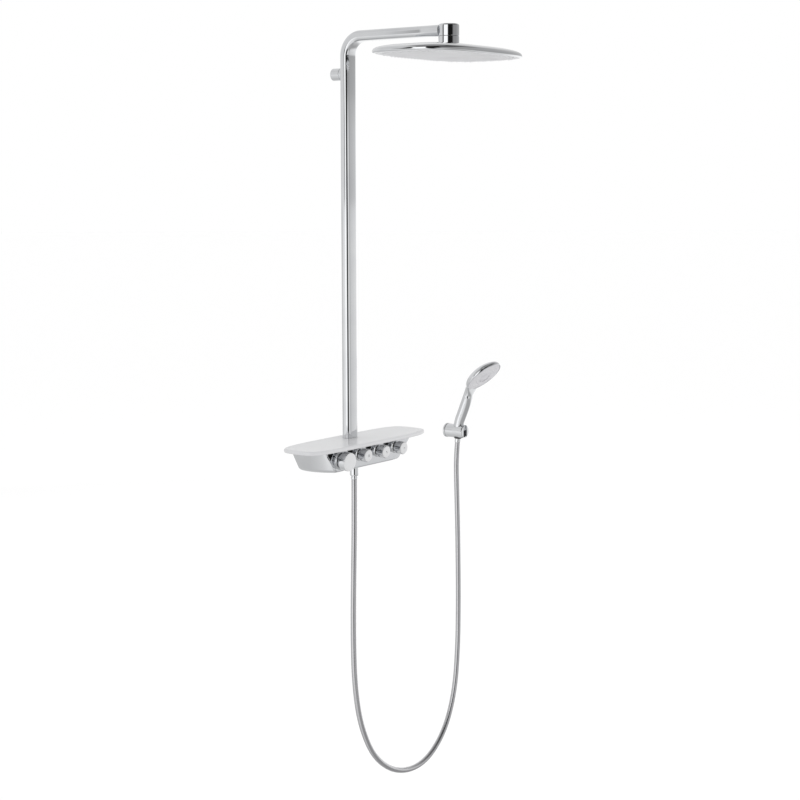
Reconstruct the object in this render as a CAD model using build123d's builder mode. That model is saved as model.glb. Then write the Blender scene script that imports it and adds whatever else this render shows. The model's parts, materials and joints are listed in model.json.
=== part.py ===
from build123d import *

import os
from math import atan2, copysign, cos, degrees, pi, radians, sin, tan

# Wall-mounted rainfall shower column, in millimetres.
# The origin lies midway between the two wall inlets, on the wall plane.
# +Y points into the wall, +Z up, and X runs along the shelf.

# Shelf tray
inlet_spacing = 150.0
tray_top = 32.0
tray_thickness = 9.0
tray_length = 423.0
tray_depth = 120.0
tray_centre_y = -62.0
tray_bottom = tray_top - tray_thickness

# Mixer housing and its front panel
housing_bottom = -26.0
housing_back_y = -2.0
housing_wall = 3.0
back_half_top = 158.0
back_half_bottom = 128.0
front_half_top = 156.0
front_half_bottom = 112.0
end_bulge = 9.0
panel_top_y = -96.0
panel_bottom_y = -92.0
panel_thickness = 3.0
panel_gap = 0.05
panel_height = tray_bottom - housing_bottom
panel_tilt = atan2(panel_bottom_y - panel_top_y, panel_height)

# Knobs: the first is the temperature knob, the others control flow
knob_pitch = 65.7
temperature_knob_x = -1.5 * knob_pitch
temperature_knob_z = -1.6
flow_knob_x = [-0.5 * knob_pitch, 0.5 * knob_pitch, 1.5 * knob_pitch]
flow_knob_z = 3.7
running_gap = 0.08

# Valve body
valve_y = -52.0
valve_radius = 17.0
valve_half = 118.0
cartridge_seat = -12.0

# Riser, bend and arm: one pipe of rounded rectangular section
riser_y = -41.0
pipe_width = 37.0
pipe_depth = 23.0
pipe_corner = 8.0
pipe_wall = 1.5
arm_top = 932.5
arm_axis_z = arm_top - pipe_depth / 2
bend_radius = 42.0
bracket_z = 841.0

# Head shower and its swivel
head_y = -312.0
head_length = 362.0
head_depth = 210.0
head_exponent = 3.6
head_underside = 867.5
head_top = 890.2
swivel_radius = 22.0
swivel_seam = 909.0
swivel_gap = 0.3
housing_top = 935.0

# Hand shower, its wall holder and the hose
holder_x = 436.0
holder_z = -8.0
barrel_radius = 17.0
barrel_start = 5.5
barrel_end = 56.0
barrel_edge = 3.0
slot_width = 14.0
seat_lean = radians(5.0)
seat_radius = 13.0
handle_lean = radians(22.6)
knee = Vector(holder_x, -37.5, 14.0)
face_radius = 49.0
face_lean = radians(46.5)
face_centre = Vector(holder_x, -112.6, 131.8)
hose_radius = 6.5
outlet_bottom = -63.0

wall_frame = Plane(origin=(0, 0, 0), x_dir=(1, 0, 0), z_dir=(0, -1, 0))
riser_frame = Plane(origin=(0, riser_y, 0))
swivel_frame = Plane(origin=(0, head_y, 0))
outlet_frame = Plane(origin=(0, valve_y, 0))
bracket_frame = Plane(origin=(0, 0, bracket_z), x_dir=(1, 0, 0), z_dir=(0, -1, 0))
holder_frame = Plane(origin=(holder_x, 0, holder_z), x_dir=(1, 0, 0), z_dir=(0, -1, 0))
seat_frame = Plane(origin=knee, x_dir=(1, 0, 0), z_dir=(0, -sin(seat_lean), cos(seat_lean)))
handle_frame = Plane(origin=knee, x_dir=(1, 0, 0), z_dir=(0, -sin(handle_lean), cos(handle_lean)))
face_frame = Plane(origin=face_centre, x_dir=(1, 0, 0), z_dir=(0, -cos(face_lean), -sin(face_lean)))


def knob_frame(x, z):
    """Plane on the front panel's outer face, its z axis along a knob's axis."""
    y = panel_top_y + (tray_bottom - z) * tan(panel_tilt)
    return Plane(origin=(x, y, z), x_dir=(1, 0, 0), z_dir=(0, -cos(panel_tilt), -sin(panel_tilt)))


def inlet_frame(side):
    """Plane at one wall inlet, its z axis pointing out of the wall."""
    return Plane(origin=(side * inlet_spacing / 2, 0, 0), x_dir=(1, 0, 0), z_dir=(0, -1, 0))


def turned(outline, *frames):
    """Solids of revolution: an outline of (radius, height) points turned about each frame's z axis."""
    with BuildPart() as piece:
        for frame in frames:
            with BuildSketch(Plane(origin=frame.origin, x_dir=frame.x_dir, z_dir=-frame.y_dir)):
                with BuildLine():
                    Polyline(*outline, close=True)
                make_face()
            revolve(axis=Axis(frame.origin, frame.z_dir))
    return piece


def superellipse(half_x, half_y, exponent, count=36):
    """Points of a superellipse about the origin, starting off its axes."""
    angles = [2 * pi * (i + 0.5) / count for i in range(count)]
    return [
        (
            half_x * copysign(abs(cos(a)) ** (2 / exponent), cos(a)),
            half_y * copysign(abs(sin(a)) ** (2 / exponent), sin(a)),
        )
        for a in angles
    ]


def head_section(level, scale):
    """Outline of the head shower at a level, as a share of its full size."""
    with BuildSketch(Plane(origin=(0, head_y, level))) as outline:
        with BuildLine():
            Spline(*superellipse(scale * head_length / 2, scale * head_depth / 2, head_exponent), periodic=True)
        make_face()
    return outline.sketch


def head_plate(level, thickness, scale, hole_radius=0.0):
    """Flat plate inside the head shower, with an optional round hole in its middle."""
    with BuildPart() as plate:
        add(head_section(level, scale))
        extrude(amount=thickness)
        if hole_radius:
            with BuildSketch(Plane(origin=(0, head_y, level))):
                Circle(hole_radius)
            extrude(amount=thickness, mode=Mode.SUBTRACT)
    return plate


def housing_section(level, wall):
    """Plan outline of the mixer housing at a level, drawn in by a wall and open at the back."""
    share = (tray_bottom - level) / panel_height
    back_half = back_half_top + (back_half_bottom - back_half_top) * share - wall
    front_half = front_half_top + (front_half_bottom - front_half_top) * share - wall
    front_y = panel_top_y + (panel_bottom_y - panel_top_y) * share + panel_thickness + panel_gap + wall
    back_y = housing_back_y + wall
    end_half = (back_half + front_half) / 2 + end_bulge
    end_y = (back_y + front_y) / 2
    with BuildSketch(Plane.XY.offset(level)) as outline:
        with BuildLine():
            Line((-back_half, back_y), (back_half, back_y))
            ThreePointArc((back_half, back_y), (end_half, end_y), (front_half, front_y))
            Line((front_half, front_y), (-front_half, front_y))
            ThreePointArc((-front_half, front_y), (-end_half, end_y), (-back_half, back_y))
        make_face()
    return outline.sketch


pieces = {}
temperature_frame = knob_frame(temperature_knob_x, temperature_knob_z)
flow_frames = [knob_frame(x, flow_knob_z) for x in flow_knob_x]

# Riser pipe: up the wall, round the bend and out along the arm
with BuildPart() as riser_pipe:
    with BuildLine():
        FilletPolyline(
            (0, riser_y, tray_top),
            (0, riser_y, arm_axis_z),
            (0, head_y, arm_axis_z),
            radius=bend_radius,
        )
    with BuildSketch(Plane(origin=(0, riser_y, tray_top))):
        RectangleRounded(pipe_width, pipe_depth, pipe_corner)
        RectangleRounded(
            pipe_width - 2 * pipe_wall,
            pipe_depth - 2 * pipe_wall,
            pipe_corner - pipe_wall,
            mode=Mode.SUBTRACT,
        )
    sweep()
    with BuildSketch(Plane(origin=(0, head_y, swivel_seam))):
        Circle(swivel_radius)
    extrude(amount=housing_top - swivel_seam, mode=Mode.SUBTRACT)
    with BuildSketch(bracket_frame.offset(20)):
        Circle(3.1)
    extrude(amount=12, mode=Mode.SUBTRACT)
pieces["riser_pipe"] = riser_pipe

# Foot that carries the riser: a round shank in the valve block and a plug inside the pipe
plug_width = pipe_width - 2 * pipe_wall - 0.6
plug_depth = pipe_depth - 2 * pipe_wall - 0.6
foot_radius = 9.0
foot_bottom = 0.5
groove_levels = [5.0, 12.0]
foot_outline = [(5.0, foot_bottom), (foot_radius, foot_bottom)]
for level in groove_levels:
    foot_outline += [(foot_radius, level), (7.6, level), (7.6, level + 2.0), (foot_radius, level + 2.0)]
foot_outline += [(foot_radius, tray_top), (5.0, tray_top)]
with BuildPart() as riser_foot:
    add(turned(foot_outline, riser_frame).part)
    with BuildSketch(Plane(origin=(0, riser_y, tray_top))):
        RectangleRounded(plug_width, plug_depth, pipe_corner - pipe_wall)
        Circle(5.0, mode=Mode.SUBTRACT)
    extrude(amount=28.0)
pieces["riser_foot"] = riser_foot

with BuildPart() as riser_foot_seals:
    for level in groove_levels:
        with BuildSketch(Plane(origin=(0, riser_y, level))):
            Circle(foot_radius)
            Circle(7.6, mode=Mode.SUBTRACT)
        extrude(amount=2.0)
pieces["riser_foot_seals"] = riser_foot_seals

# Bracket that holds the riser off the wall
pieces["bracket_anchor"] = turned(
    [(2.7, 0), (11.0, 0), (11.0, 8.0), (5.5, 8.0), (2.7, 5.0)], bracket_frame
)
pieces["bracket_screw"] = turned(
    [(0, -30.0), (2.5, -28.0), (2.5, 4.8), (5.2, 7.8), (0, 7.8)], bracket_frame
)
pieces["bracket_sleeve"] = turned(
    [(11.3, 0.3), (13.5, 0.3), (13.5, 23.0), (6.0, 23.0), (6.0, 20.0), (11.3, 20.0)], bracket_frame
)
pipe_back = -riser_y - pipe_depth / 2
pieces["bracket_saddle"] = turned(
    [(0, 17.0), (5.8, 17.0), (5.8, 23.0), (13.0, 23.0), (13.0, pipe_back), (3.0, pipe_back),
     (3.0, pipe_back + 4.0), (0, pipe_back + 4.0)],
    bracket_frame,
)

# Fixed top of the swivel at the arm's end, domed on top
with BuildPart() as arm_end_housing:
    add(
        turned(
            [(10.02, swivel_seam), (swivel_radius, swivel_seam), (swivel_radius, housing_top - 8.0),
             (swivel_radius - 0.6, housing_top - 5.0), (swivel_radius - 2.6, housing_top - 2.4),
             (swivel_radius - 6.5, housing_top - 0.8), (8.0, housing_top - 0.2), (0, housing_top), (0, 929.0),
             (10.02, 929.0)],
            swivel_frame,
        ).part
    )
    with BuildSketch(Plane(origin=(0, head_y, arm_axis_z), x_dir=(1, 0, 0), z_dir=(0, 1, 0))):
        Circle(7.0)
    extrude(amount=swivel_radius, mode=Mode.SUBTRACT)
pieces["arm_end_housing"] = arm_end_housing

# Tube that the head shower turns on, with two sealing grooves and a flange that carries its weight
spigot_radius = 9.97
seal_levels = [897.0, 902.0]
spigot_outline = [(6.0, 891.0), (13.0, 891.0), (13.0, 893.5), (spigot_radius, 893.5)]
for level in seal_levels:
    spigot_outline += [(spigot_radius, level), (8.6, level), (8.6, level + 2.0), (spigot_radius, level + 2.0)]
spigot_outline += [(spigot_radius, 928.8), (6.0, 928.8)]
pieces["swivel_spigot"] = turned(spigot_outline, swivel_frame)
with BuildPart() as swivel_seals:
    for level in seal_levels:
        with BuildSketch(Plane(origin=(0, head_y, level))):
            Circle(spigot_radius)
            Circle(8.6, mode=Mode.SUBTRACT)
        extrude(amount=2.0)
pieces["swivel_seals"] = swivel_seals
spigot_bore = spigot_radius + running_gap
pieces["swivel_collar"] = turned(
    [(spigot_bore, swivel_seam - swivel_gap), (spigot_bore, 893.9), (14.0, 893.9), (14.0, head_top),
     (swivel_radius, head_top), (swivel_radius, swivel_seam - swivel_gap)],
    swivel_frame,
)

# Head shower: domed shell, inlet boss, distributor, nozzle mat and spray face
outer_sections = [(868.6, 0.985), (871.5, 1.0), (876.5, 0.992), (881.5, 0.93), (885.5, 0.80), (888.6, 0.56),
                  (head_top, 0.22)]
inner_sections = [(868.6, 0.958), (871.5, 0.968), (875.0, 0.958), (879.5, 0.90), (883.2, 0.76), (886.0, 0.52),
                  (887.4, 0.20)]
with BuildPart() as head_top_shell:
    for level, scale in outer_sections:
        add(head_section(level, scale))
    loft(ruled=True)
    for level, scale in inner_sections:
        add(head_section(level, scale))
    loft(ruled=True, mode=Mode.SUBTRACT)
    with BuildSketch(Plane(origin=(0, head_y, head_top))):
        Circle(14.0)
    extrude(amount=-6.0, mode=Mode.SUBTRACT)
pieces["head_top_shell"] = head_top_shell
pieces["head_inlet_boss"] = turned(
    [(6.0, 882.0), (19.0, 882.0), (19.0, 887.0), (13.8, 887.0), (13.8, 890.6), (6.0, 890.6)], swivel_frame
)
pieces["head_distributor"] = head_plate(873.6, 2.0, 0.94, hole_radius=12.0)
pieces["head_nozzle_mat"] = head_plate(871.7, 1.8, 0.925)
pieces["head_spray_face"] = head_plate(head_underside, 4.0, 0.955)
with BuildPart() as head_seal:
    add(head_section(871.7, 0.952))
    extrude(amount=1.8)
    add(head_section(871.7, 0.928))
    extrude(amount=1.8, mode=Mode.SUBTRACT)
pieces["head_seal"] = head_seal
with BuildPart() as head_screws:
    with BuildSketch(Plane(origin=(0, head_y, 875.7))):
        with GridLocations(0.55 * head_length, 0.5 * head_depth, 2, 2):
            Circle(3.2)
    extrude(amount=2.2)
pieces["head_screws"] = head_screws

# Shelf tray
with BuildPart() as shelf_tray:
    with BuildSketch(Plane(origin=(0, tray_centre_y, tray_bottom))):
        with BuildLine():
            Spline(*superellipse(tray_length / 2, tray_depth / 2, 4.4), periodic=True)
        make_face()
    extrude(amount=tray_thickness)
    fillet(shelf_tray.edges().filter_by(Plane.XY), 3.5)
    with BuildSketch(Plane(origin=(0, riser_y, tray_bottom))):
        Circle(foot_radius + 0.5)
    extrude(amount=tray_thickness, mode=Mode.SUBTRACT)
pieces["shelf_tray"] = shelf_tray

# Mixer housing: a tapering shell under the tray, open at the top and towards the wall
with BuildPart() as mixer_housing:
    add(housing_section(tray_bottom, 0.0))
    add(housing_section(housing_bottom, 0.0))
    loft()
    add(housing_section(tray_bottom + 1.0, housing_wall))
    add(housing_section(housing_bottom + housing_wall, housing_wall))
    loft(mode=Mode.SUBTRACT)
    with BuildSketch(Plane.XZ):
        with Locations((0, (tray_bottom + housing_bottom + housing_wall) / 2)):
            Rectangle(2 * (back_half_bottom - housing_wall), panel_height - housing_wall)
    extrude(amount=8.0, mode=Mode.SUBTRACT)
    with BuildSketch(temperature_frame):
        Circle(19.0)
    extrude(amount=-9.0, mode=Mode.SUBTRACT)
    for frame in flow_frames:
        with BuildSketch(frame):
            Circle(15.5)
        extrude(amount=-9.0, mode=Mode.SUBTRACT)
    with BuildSketch(Plane.XY.offset(housing_bottom)):
        with Locations((0, valve_y)):
            Circle(11.0)
    extrude(amount=housing_wall, mode=Mode.SUBTRACT)
pieces["mixer_housing"] = mixer_housing

# Front panel: a mirror-bright plate on the housing's sloping front
panel_frame = Plane(origin=(0, panel_top_y, tray_bottom), x_dir=(1, 0, 0),
                    z_dir=(0, -cos(panel_tilt), -sin(panel_tilt)))
panel_drop = panel_height / cos(panel_tilt) - 0.2
with BuildPart() as front_panel:
    with BuildSketch(panel_frame):
        with BuildLine():
            Polyline(
                (-front_half_top, -0.3),
                (front_half_top, -0.3),
                (front_half_bottom, -panel_drop),
                (-front_half_bottom, -panel_drop),
                close=True,
            )
        make_face()
    extrude(amount=-panel_thickness)
    panel_axis = Axis(panel_frame.origin, panel_frame.z_dir)
    fillet(front_panel.edges().filter_by(panel_axis).sort_by(Axis.Z)[:2], 9.0)
    with BuildSketch(temperature_frame):
        Circle(10.0)
    extrude(amount=-panel_thickness - 1.0, mode=Mode.SUBTRACT)
    for frame in flow_frames:
        with BuildSketch(frame):
            Circle(8.0)
        extrude(amount=-panel_thickness - 1.0, mode=Mode.SUBTRACT)
pieces["front_panel"] = front_panel

# Back plate on the wall, behind the valve
plate_length = 236.0
plate_height = 40.0
plate_corner = 6.0
plate_sheet = 1.8
union_hole_radius = 15.0
plate_screw_spacing = 206.0
plate_screw_hole_radius = 2.6
with BuildPart() as back_plate:
    with BuildSketch(Plane.XZ):
        RectangleRounded(plate_length, plate_height, plate_corner)
        with GridLocations(inlet_spacing, 0, 2, 1):
            Circle(union_hole_radius, mode=Mode.SUBTRACT)
        with GridLocations(plate_screw_spacing, 0, 2, 1):
            Circle(plate_screw_hole_radius, mode=Mode.SUBTRACT)
    extrude(amount=plate_sheet)
pieces["back_plate"] = back_plate
plate_screw_frames = [
    Plane(origin=(side * plate_screw_spacing / 2, 0, 0), x_dir=(1, 0, 0), z_dir=(0, -1, 0)) for side in (-1, 1)
]
pieces["back_plate_screws"] = turned(
    [(0, -26.0), (2.4, -24.0), (2.4, 1.8), (5.0, 1.8), (4.4, 4.2), (0, 4.6)], *plate_screw_frames
)

# Valve body: a bar with a centre block, four cartridge bosses and two inlet bosses
with BuildPart() as valve_body:
    with BuildSketch(Plane.YZ.offset(-valve_half)):
        with Locations((valve_y, 0)):
            Circle(valve_radius)
    extrude(amount=2 * valve_half)
    with BuildSketch(Plane.XY.offset(-valve_radius)):
        with Locations((0, -51.0)):
            Rectangle(40.0, 44.0)
    extrude(amount=tray_bottom + valve_radius)
    with BuildSketch(temperature_frame.offset(cartridge_seat)):
        Circle(18.0)
    extrude(amount=-32.0)
    for frame in flow_frames:
        with BuildSketch(frame.offset(cartridge_seat)):
            Circle(14.0)
        extrude(amount=-32.0)
    with BuildSketch(Plane.XZ.offset(25.5)):
        with GridLocations(inlet_spacing, 0, 2, 1):
            Circle(12.0)
    extrude(amount=26.0)
    with BuildSketch(Plane.XZ.offset(25.5)):
        with GridLocations(inlet_spacing, 0, 2, 1):
            Circle(7.0)
    extrude(amount=22.0, mode=Mode.SUBTRACT)
    with BuildSketch(temperature_frame.offset(cartridge_seat)):
        Circle(15.0)
    extrude(amount=-30.0, mode=Mode.SUBTRACT)
    for frame in flow_frames:
        with BuildSketch(frame.offset(cartridge_seat)):
            Circle(11.0)
        extrude(amount=-30.0, mode=Mode.SUBTRACT)
    with BuildSketch(Plane(origin=(0, riser_y, tray_bottom))):
        Circle(foot_radius + 0.03)
    extrude(amount=-22.6, mode=Mode.SUBTRACT)
    with BuildSketch(Plane(origin=(0, valve_y, -valve_radius))):
        Circle(7.03)
    extrude(amount=14.0, mode=Mode.SUBTRACT)
pieces["valve_body"] = valve_body
end_frames = [
    Plane(origin=(side * valve_half, valve_y, 0), x_dir=(0, 1, 0), z_dir=(side, 0, 0)) for side in (-1, 1)
]
pieces["valve_end_caps"] = turned([(0, 0), (14.0, 0), (14.0, 4.0), (12.5, 5.5), (0, 5.5)], *end_frames)

# Wall unions, their nuts, washers and strainers, and the check valves behind them
union_outline = [(7.0, -16.0), (10.48, -16.0), (10.48, 0), (14.0, 0), (14.0, 4.0), (9.0, 4.0), (9.0, 20.0),
                 (11.5, 20.0), (11.5, 23.5), (7.0, 23.5)]
nut_start = 13.0
nut_end = 34.0
nut_collar = 6.8
inlet_frames = [inlet_frame(side) for side in (-1, 1)]
pieces["inlet_unions"] = turned(union_outline, *inlet_frames)
with BuildPart() as union_nuts:
    for frame in inlet_frames:
        with BuildSketch(frame.offset(nut_start)):
            RegularPolygon(16.5, 6)
            Circle(9.2, mode=Mode.SUBTRACT)
        extrude(amount=nut_collar)
        with BuildSketch(frame.offset(nut_start + nut_collar)):
            RegularPolygon(16.5, 6)
            Circle(12.05, mode=Mode.SUBTRACT)
        extrude(amount=nut_end - nut_start - nut_collar)
pieces["union_nuts"] = union_nuts
pieces["inlet_washers"] = turned([(7.2, 23.5), (11.4, 23.5), (11.4, 25.5), (7.2, 25.5)], *inlet_frames)
pieces["inlet_strainers"] = turned([(0, 12.0), (6.8, 12.0), (6.8, 23.0), (5.8, 23.0), (5.8, 13.0), (0, 13.0)],
                                   *inlet_frames)
pieces["check_valves"] = turned([(0, 27.0), (6.8, 27.0), (6.8, 44.0), (0, 44.0)], *inlet_frames)

# Thermostatic cartridge, its spindle and the temperature knob
pieces["thermostatic_cartridge"] = turned(
    [(0, -41.9), (14.95, -41.9), (14.95, -12.0), (17.5, -12.0), (17.5, -9.2), (7.3, -9.2), (7.3, -30.5),
     (0, -30.5)],
    temperature_frame,
)
pieces["temperature_spindle"] = turned([(0, -30.0), (7.0, -30.0), (7.0, 9.9), (0, 9.9)], temperature_frame)
pieces["temperature_knob"] = turned(
    [(0, 10.0), (7.05, 10.0), (7.05, 3.4), (18.0, 3.4), (18.0, 6.5), (21.0, 9.0), (21.0, 23.2), (20.6, 24.0),
     (0, 24.0)],
    temperature_frame,
)
pieces["temperature_cap"] = turned(
    [(0, 24.0), (20.4, 24.0), (20.4, 25.6), (19.6, 26.4), (0, 26.8)], temperature_frame
)

# Flow cartridges, spindles, knobs and the push buttons in them
with BuildPart() as knob_collars:
    add(
        turned(
            [(11.0, 0.05), (21.5, 0.05), (21.5, 1.8), (20.6, 3.0), (11.0, 3.0)], temperature_frame
        ).part
    )
    add(
        turned(
            [(8.6, 0.05), (15.5, 0.05), (15.5, 1.8), (14.7, 3.0), (8.6, 3.0)], *flow_frames
        ).part
    )
pieces["knob_collars"] = knob_collars
cartridge_outline = [(0, -41.9), (10.95, -41.9), (10.95, -12.0), (14.0, -12.0), (14.0, -9.2), (6.4, -9.2),
                     (6.4, -30.0), (0, -30.0)]
spindle_outline = [(3.7, -29.6), (6.0, -29.6), (6.0, 8.0), (3.7, 8.0)]
knob_outline = [(6.05, 3.4), (12.0, 3.4), (12.0, 6.5), (14.5, 8.5), (14.5, 23.6), (14.0, 24.2), (13.5, 24.2),
                (13.5, 16.0), (3.0 + running_gap, 16.0), (3.0 + running_gap, 8.05), (6.05, 8.05)]
button_outline = [(0, 11.5), (3.0, 11.5), (3.0, 19.5), (13.2, 19.5), (13.2, 25.2), (12.5, 25.9), (0, 26.3)]
pieces["flow_cartridges"] = turned(cartridge_outline, *flow_frames)
for number, frame in enumerate(flow_frames, start=1):
    pieces[f"flow_spindle_{number}"] = turned(spindle_outline, frame)
    pieces[f"flow_knob_{number}"] = turned(knob_outline, frame)
    pieces[f"push_button_{number}"] = turned(button_outline, frame)

# Hose outlet under the valve, its nut and ferrule
pieces["hose_nipple"] = turned(
    [(4.5, -40.0), (8.0, -40.0), (8.0, -29.0), (10.4, -29.0), (10.4, -17.0), (7.0, -17.0), (7.0, -4.0),
     (4.5, -4.0)],
    outlet_frame,
)
pieces["hose_nut_lower"] = turned(
    [(8.05, -29.3), (9.8, -29.3), (9.8, -53.0), (9.0, -54.5), (6.6, -54.5), (6.6, -42.2), (8.05, -42.2)],
    outlet_frame,
)
pieces["hose_washer_lower"] = turned([(4.6, -42.0), (7.9, -42.0), (7.9, -40.1), (4.6, -40.1)], outlet_frame)
pieces["hose_ferrule_lower"] = turned(
    [(4.5, -42.2), (6.5, -42.2), (6.5, -54.7), (7.6, -54.7), (7.4, outlet_bottom), (4.5, outlet_bottom)],
    outlet_frame,
)

# Wall holder of the hand shower: a level barrel with an upright seat through it and a slot in its front
plate_thickness = 5.0
holder_screw_spacing = 17.0
holder_screw_frames = [
    Plane(origin=(holder_x + side * holder_screw_spacing / 2, 0, holder_z), x_dir=(1, 0, 0), z_dir=(0, -1, 0))
    for side in (-1, 1)
]
with BuildPart() as holder_wall_plate:
    with BuildSketch(holder_frame):
        Circle(14.8)
        with GridLocations(holder_screw_spacing, 0, 2, 1):
            Circle(2.3, mode=Mode.SUBTRACT)
    extrude(amount=plate_thickness)
pieces["holder_wall_plate"] = holder_wall_plate
pieces["holder_screws"] = turned(
    [(0, -26.0), (2.1, -24.0), (2.1, 5.0), (4.2, 5.0), (3.8, 7.2), (0, 7.6)], *holder_screw_frames
)
pieces["holder_flange"] = turned(
    [(15.0, 0.3), (17.2, 0.3), (17.6, 0.8), (17.6, 4.6), (16.9, 5.4), (15.0, 5.4)], holder_frame
)
screw_pocket_radius = 13.5
screw_pocket_depth = 3.5
seat_slope = (seat_radius - 10.5) / 44.0
seat_outline = [(0, -60.0), (seat_radius - 60.0 * seat_slope, -60.0),
                (seat_radius + 30.0 * seat_slope, 30.0), (0, 30.0)]
with BuildPart() as shower_holder:
    with BuildSketch(holder_frame.offset(barrel_start)):
        Circle(barrel_radius)
    extrude(amount=barrel_end - barrel_start)
    fillet(shower_holder.edges().sort_by(Axis.Y)[0], barrel_edge)
    with BuildSketch(holder_frame.offset(barrel_start)):
        Circle(screw_pocket_radius)
    extrude(amount=screw_pocket_depth, mode=Mode.SUBTRACT)
    add(turned(seat_outline, seat_frame).part, mode=Mode.SUBTRACT)
    with BuildSketch(Plane(origin=(holder_x, -barrel_end, holder_z - barrel_radius - 1.0))):
        Rectangle(slot_width, 2 * (barrel_end + knee.Y))
    extrude(amount=2 * barrel_radius + 2.0, mode=Mode.SUBTRACT)
pieces["shower_holder"] = shower_holder

# Hand shower: handle and domed head in one shell
seat_gap = 0.3
nut_top = -20.0
nut_neck = -44.0
nut_bottom = -50.0
cone_top_radius = seat_radius - seat_gap
cone_nut_radius = seat_radius + nut_top * seat_slope - seat_gap
handle_sections = [(0.0, 12.7, 12.7, 0.0), (45.0, 13.1, 13.0, 0.0), (70.0, 13.3, 12.0, 1.0),
                   (86.0, 13.7, 9.9, 3.6), (102.0, 14.6, 7.2, 5.8), (116.0, 14.6, 5.0, 6.2)]
with BuildPart() as hand_shower_body:
    add(turned([(0, nut_top), (cone_nut_radius, nut_top), (cone_top_radius, 0), (0, 0)], seat_frame).part)
    with Locations(knee):
        Sphere(cone_top_radius)
    for distance, half_width, half_depth, setback in handle_sections:
        with BuildSketch(handle_frame.offset(distance)):
            with Locations((0, setback)):
                Ellipse(half_width, half_depth)
    loft()
    add(
        turned(
            [(0, -24.0), (14.0, -23.4), (28.0, -20.8), (39.0, -16.8), (46.0, -12.0), (face_radius, -7.0),
             (face_radius, -2.4), (48.0, -0.6), (46.6, -0.6), (46.6, -5.2), (0, -5.2)],
            face_frame,
        ).part
    )
    with BuildSketch(face_frame.offset(-0.6)):
        Circle(46.6)
    extrude(amount=-4.6, mode=Mode.SUBTRACT)
    with BuildSketch(seat_frame.offset(nut_top)):
        Circle(7.0)
    extrude(amount=22.0, mode=Mode.SUBTRACT)
    with BuildSketch(handle_frame):
        Circle(7.0)
    extrude(amount=76.0, mode=Mode.SUBTRACT)
pieces["hand_shower_body"] = hand_shower_body
pieces["handset_water_tube"] = turned([(4.5, 4.0), (6.6, 4.0), (6.6, 74.0), (4.5, 74.0)], handle_frame)
pieces["handset_spray_face"] = turned(
    [(13.3, -5.1), (46.2, -5.1), (46.2, -1.6), (45.0, -0.5), (28.0, 0.3), (13.3, 0.3)], face_frame
)
pieces["spray_selector"] = turned(
    [(0, -4.9), (13.0, -4.9), (13.0, 0.9), (12.0, 1.5), (0, 1.7)], face_frame
)

# Conical hose nut under the handle, seated in the holder
pieces["hose_nut_upper"] = turned(
    [(6.8, nut_top - 0.1), (cone_nut_radius, nut_top - 0.1), (seat_radius + nut_neck * seat_slope - seat_gap, nut_neck),
     (8.0, nut_bottom), (4.5, nut_bottom), (4.5, -30.0), (6.8, -30.0)],
    seat_frame,
)
pieces["hose_washer_upper"] = turned([(4.6, -29.9), (6.7, -29.9), (6.7, -28.0), (4.6, -28.0)], seat_frame)

# Hose: straight out of the ferrule, down, round the bottom and up into the conical nut
nut_end_point = knee + seat_frame.z_dir * nut_bottom
hose_route = [
    (0, valve_y, outlet_bottom),
    (0, valve_y, -165),
    (-5, -52.5, -300),
    (-8, -53, -430),
    (-3, -52.5, -548),
    (20, -51, -650),
    (77, -47.5, -747),
    (178, -41, -812.5),
    (292, -35, -825),
    (380, -33, -771),
    (428, -31.8, -678),
    (443, -31.2, -562),
    (444.5, -31.5, -440),
    (443, -31.2, -330),
    (440.5, -30.6, -225),
    (438, -29.2, -135),
    nut_end_point + seat_frame.z_dir * -42.0,
    nut_end_point,
]


def corner_radii(route):
    """Radius of each corner's arc: 0.45 of the shorter run over the tangent of half the turn."""
    spots = [Vector(*point) for point in route]
    radii = []
    for before, here, after in zip(spots, spots[1:], spots[2:]):
        turn = radians((here - before).get_angle(after - here))
        radii.append(0.45 * min((here - before).length, (after - here).length) / tan(turn / 2))
    return radii


hose_radii = corner_radii(hose_route)
with BuildPart() as hose:
    with BuildLine() as hose_line:
        FilletPolyline(*hose_route, radius=hose_radii)
    with BuildSketch(Plane(origin=hose_route[0], z_dir=Vector(*hose_route[1]) - Vector(*hose_route[0]))):
        Circle(hose_radius)
    sweep()
pieces["hose"] = hose
hose_length = sum(edge.length for edge in hose_line.edges())
section_volume = pi * hose_radius**2 * hose_length
print("hose length", round(hose_length, 1))
print("hose volume", round(hose.part.volume), "section times length", round(section_volume))
print("hose radii", [round(radius) for radius in hose_radii])

os.makedirs("parts", exist_ok=True)
for name, piece in pieces.items():
    piece.part.label = name
    export_step(piece.part, f"parts/{name}.step")
print(len(pieces), "pieces")
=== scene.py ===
import json
import math

import bpy
import numpy as np
from mathutils import Matrix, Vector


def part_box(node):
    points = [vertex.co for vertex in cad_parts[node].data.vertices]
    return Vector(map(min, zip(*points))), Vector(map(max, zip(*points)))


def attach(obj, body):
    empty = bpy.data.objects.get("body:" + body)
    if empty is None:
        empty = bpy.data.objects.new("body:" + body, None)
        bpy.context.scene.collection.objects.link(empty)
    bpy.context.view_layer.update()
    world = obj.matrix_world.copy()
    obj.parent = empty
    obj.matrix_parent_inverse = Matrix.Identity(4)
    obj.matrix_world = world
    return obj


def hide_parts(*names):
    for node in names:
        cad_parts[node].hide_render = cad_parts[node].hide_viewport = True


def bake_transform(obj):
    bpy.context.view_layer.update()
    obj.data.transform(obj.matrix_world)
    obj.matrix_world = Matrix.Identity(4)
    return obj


# A wall-mounted rainfall shower column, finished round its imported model.
# Shapes are worked out in millimetres and become metres as their meshes are made.

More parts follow.
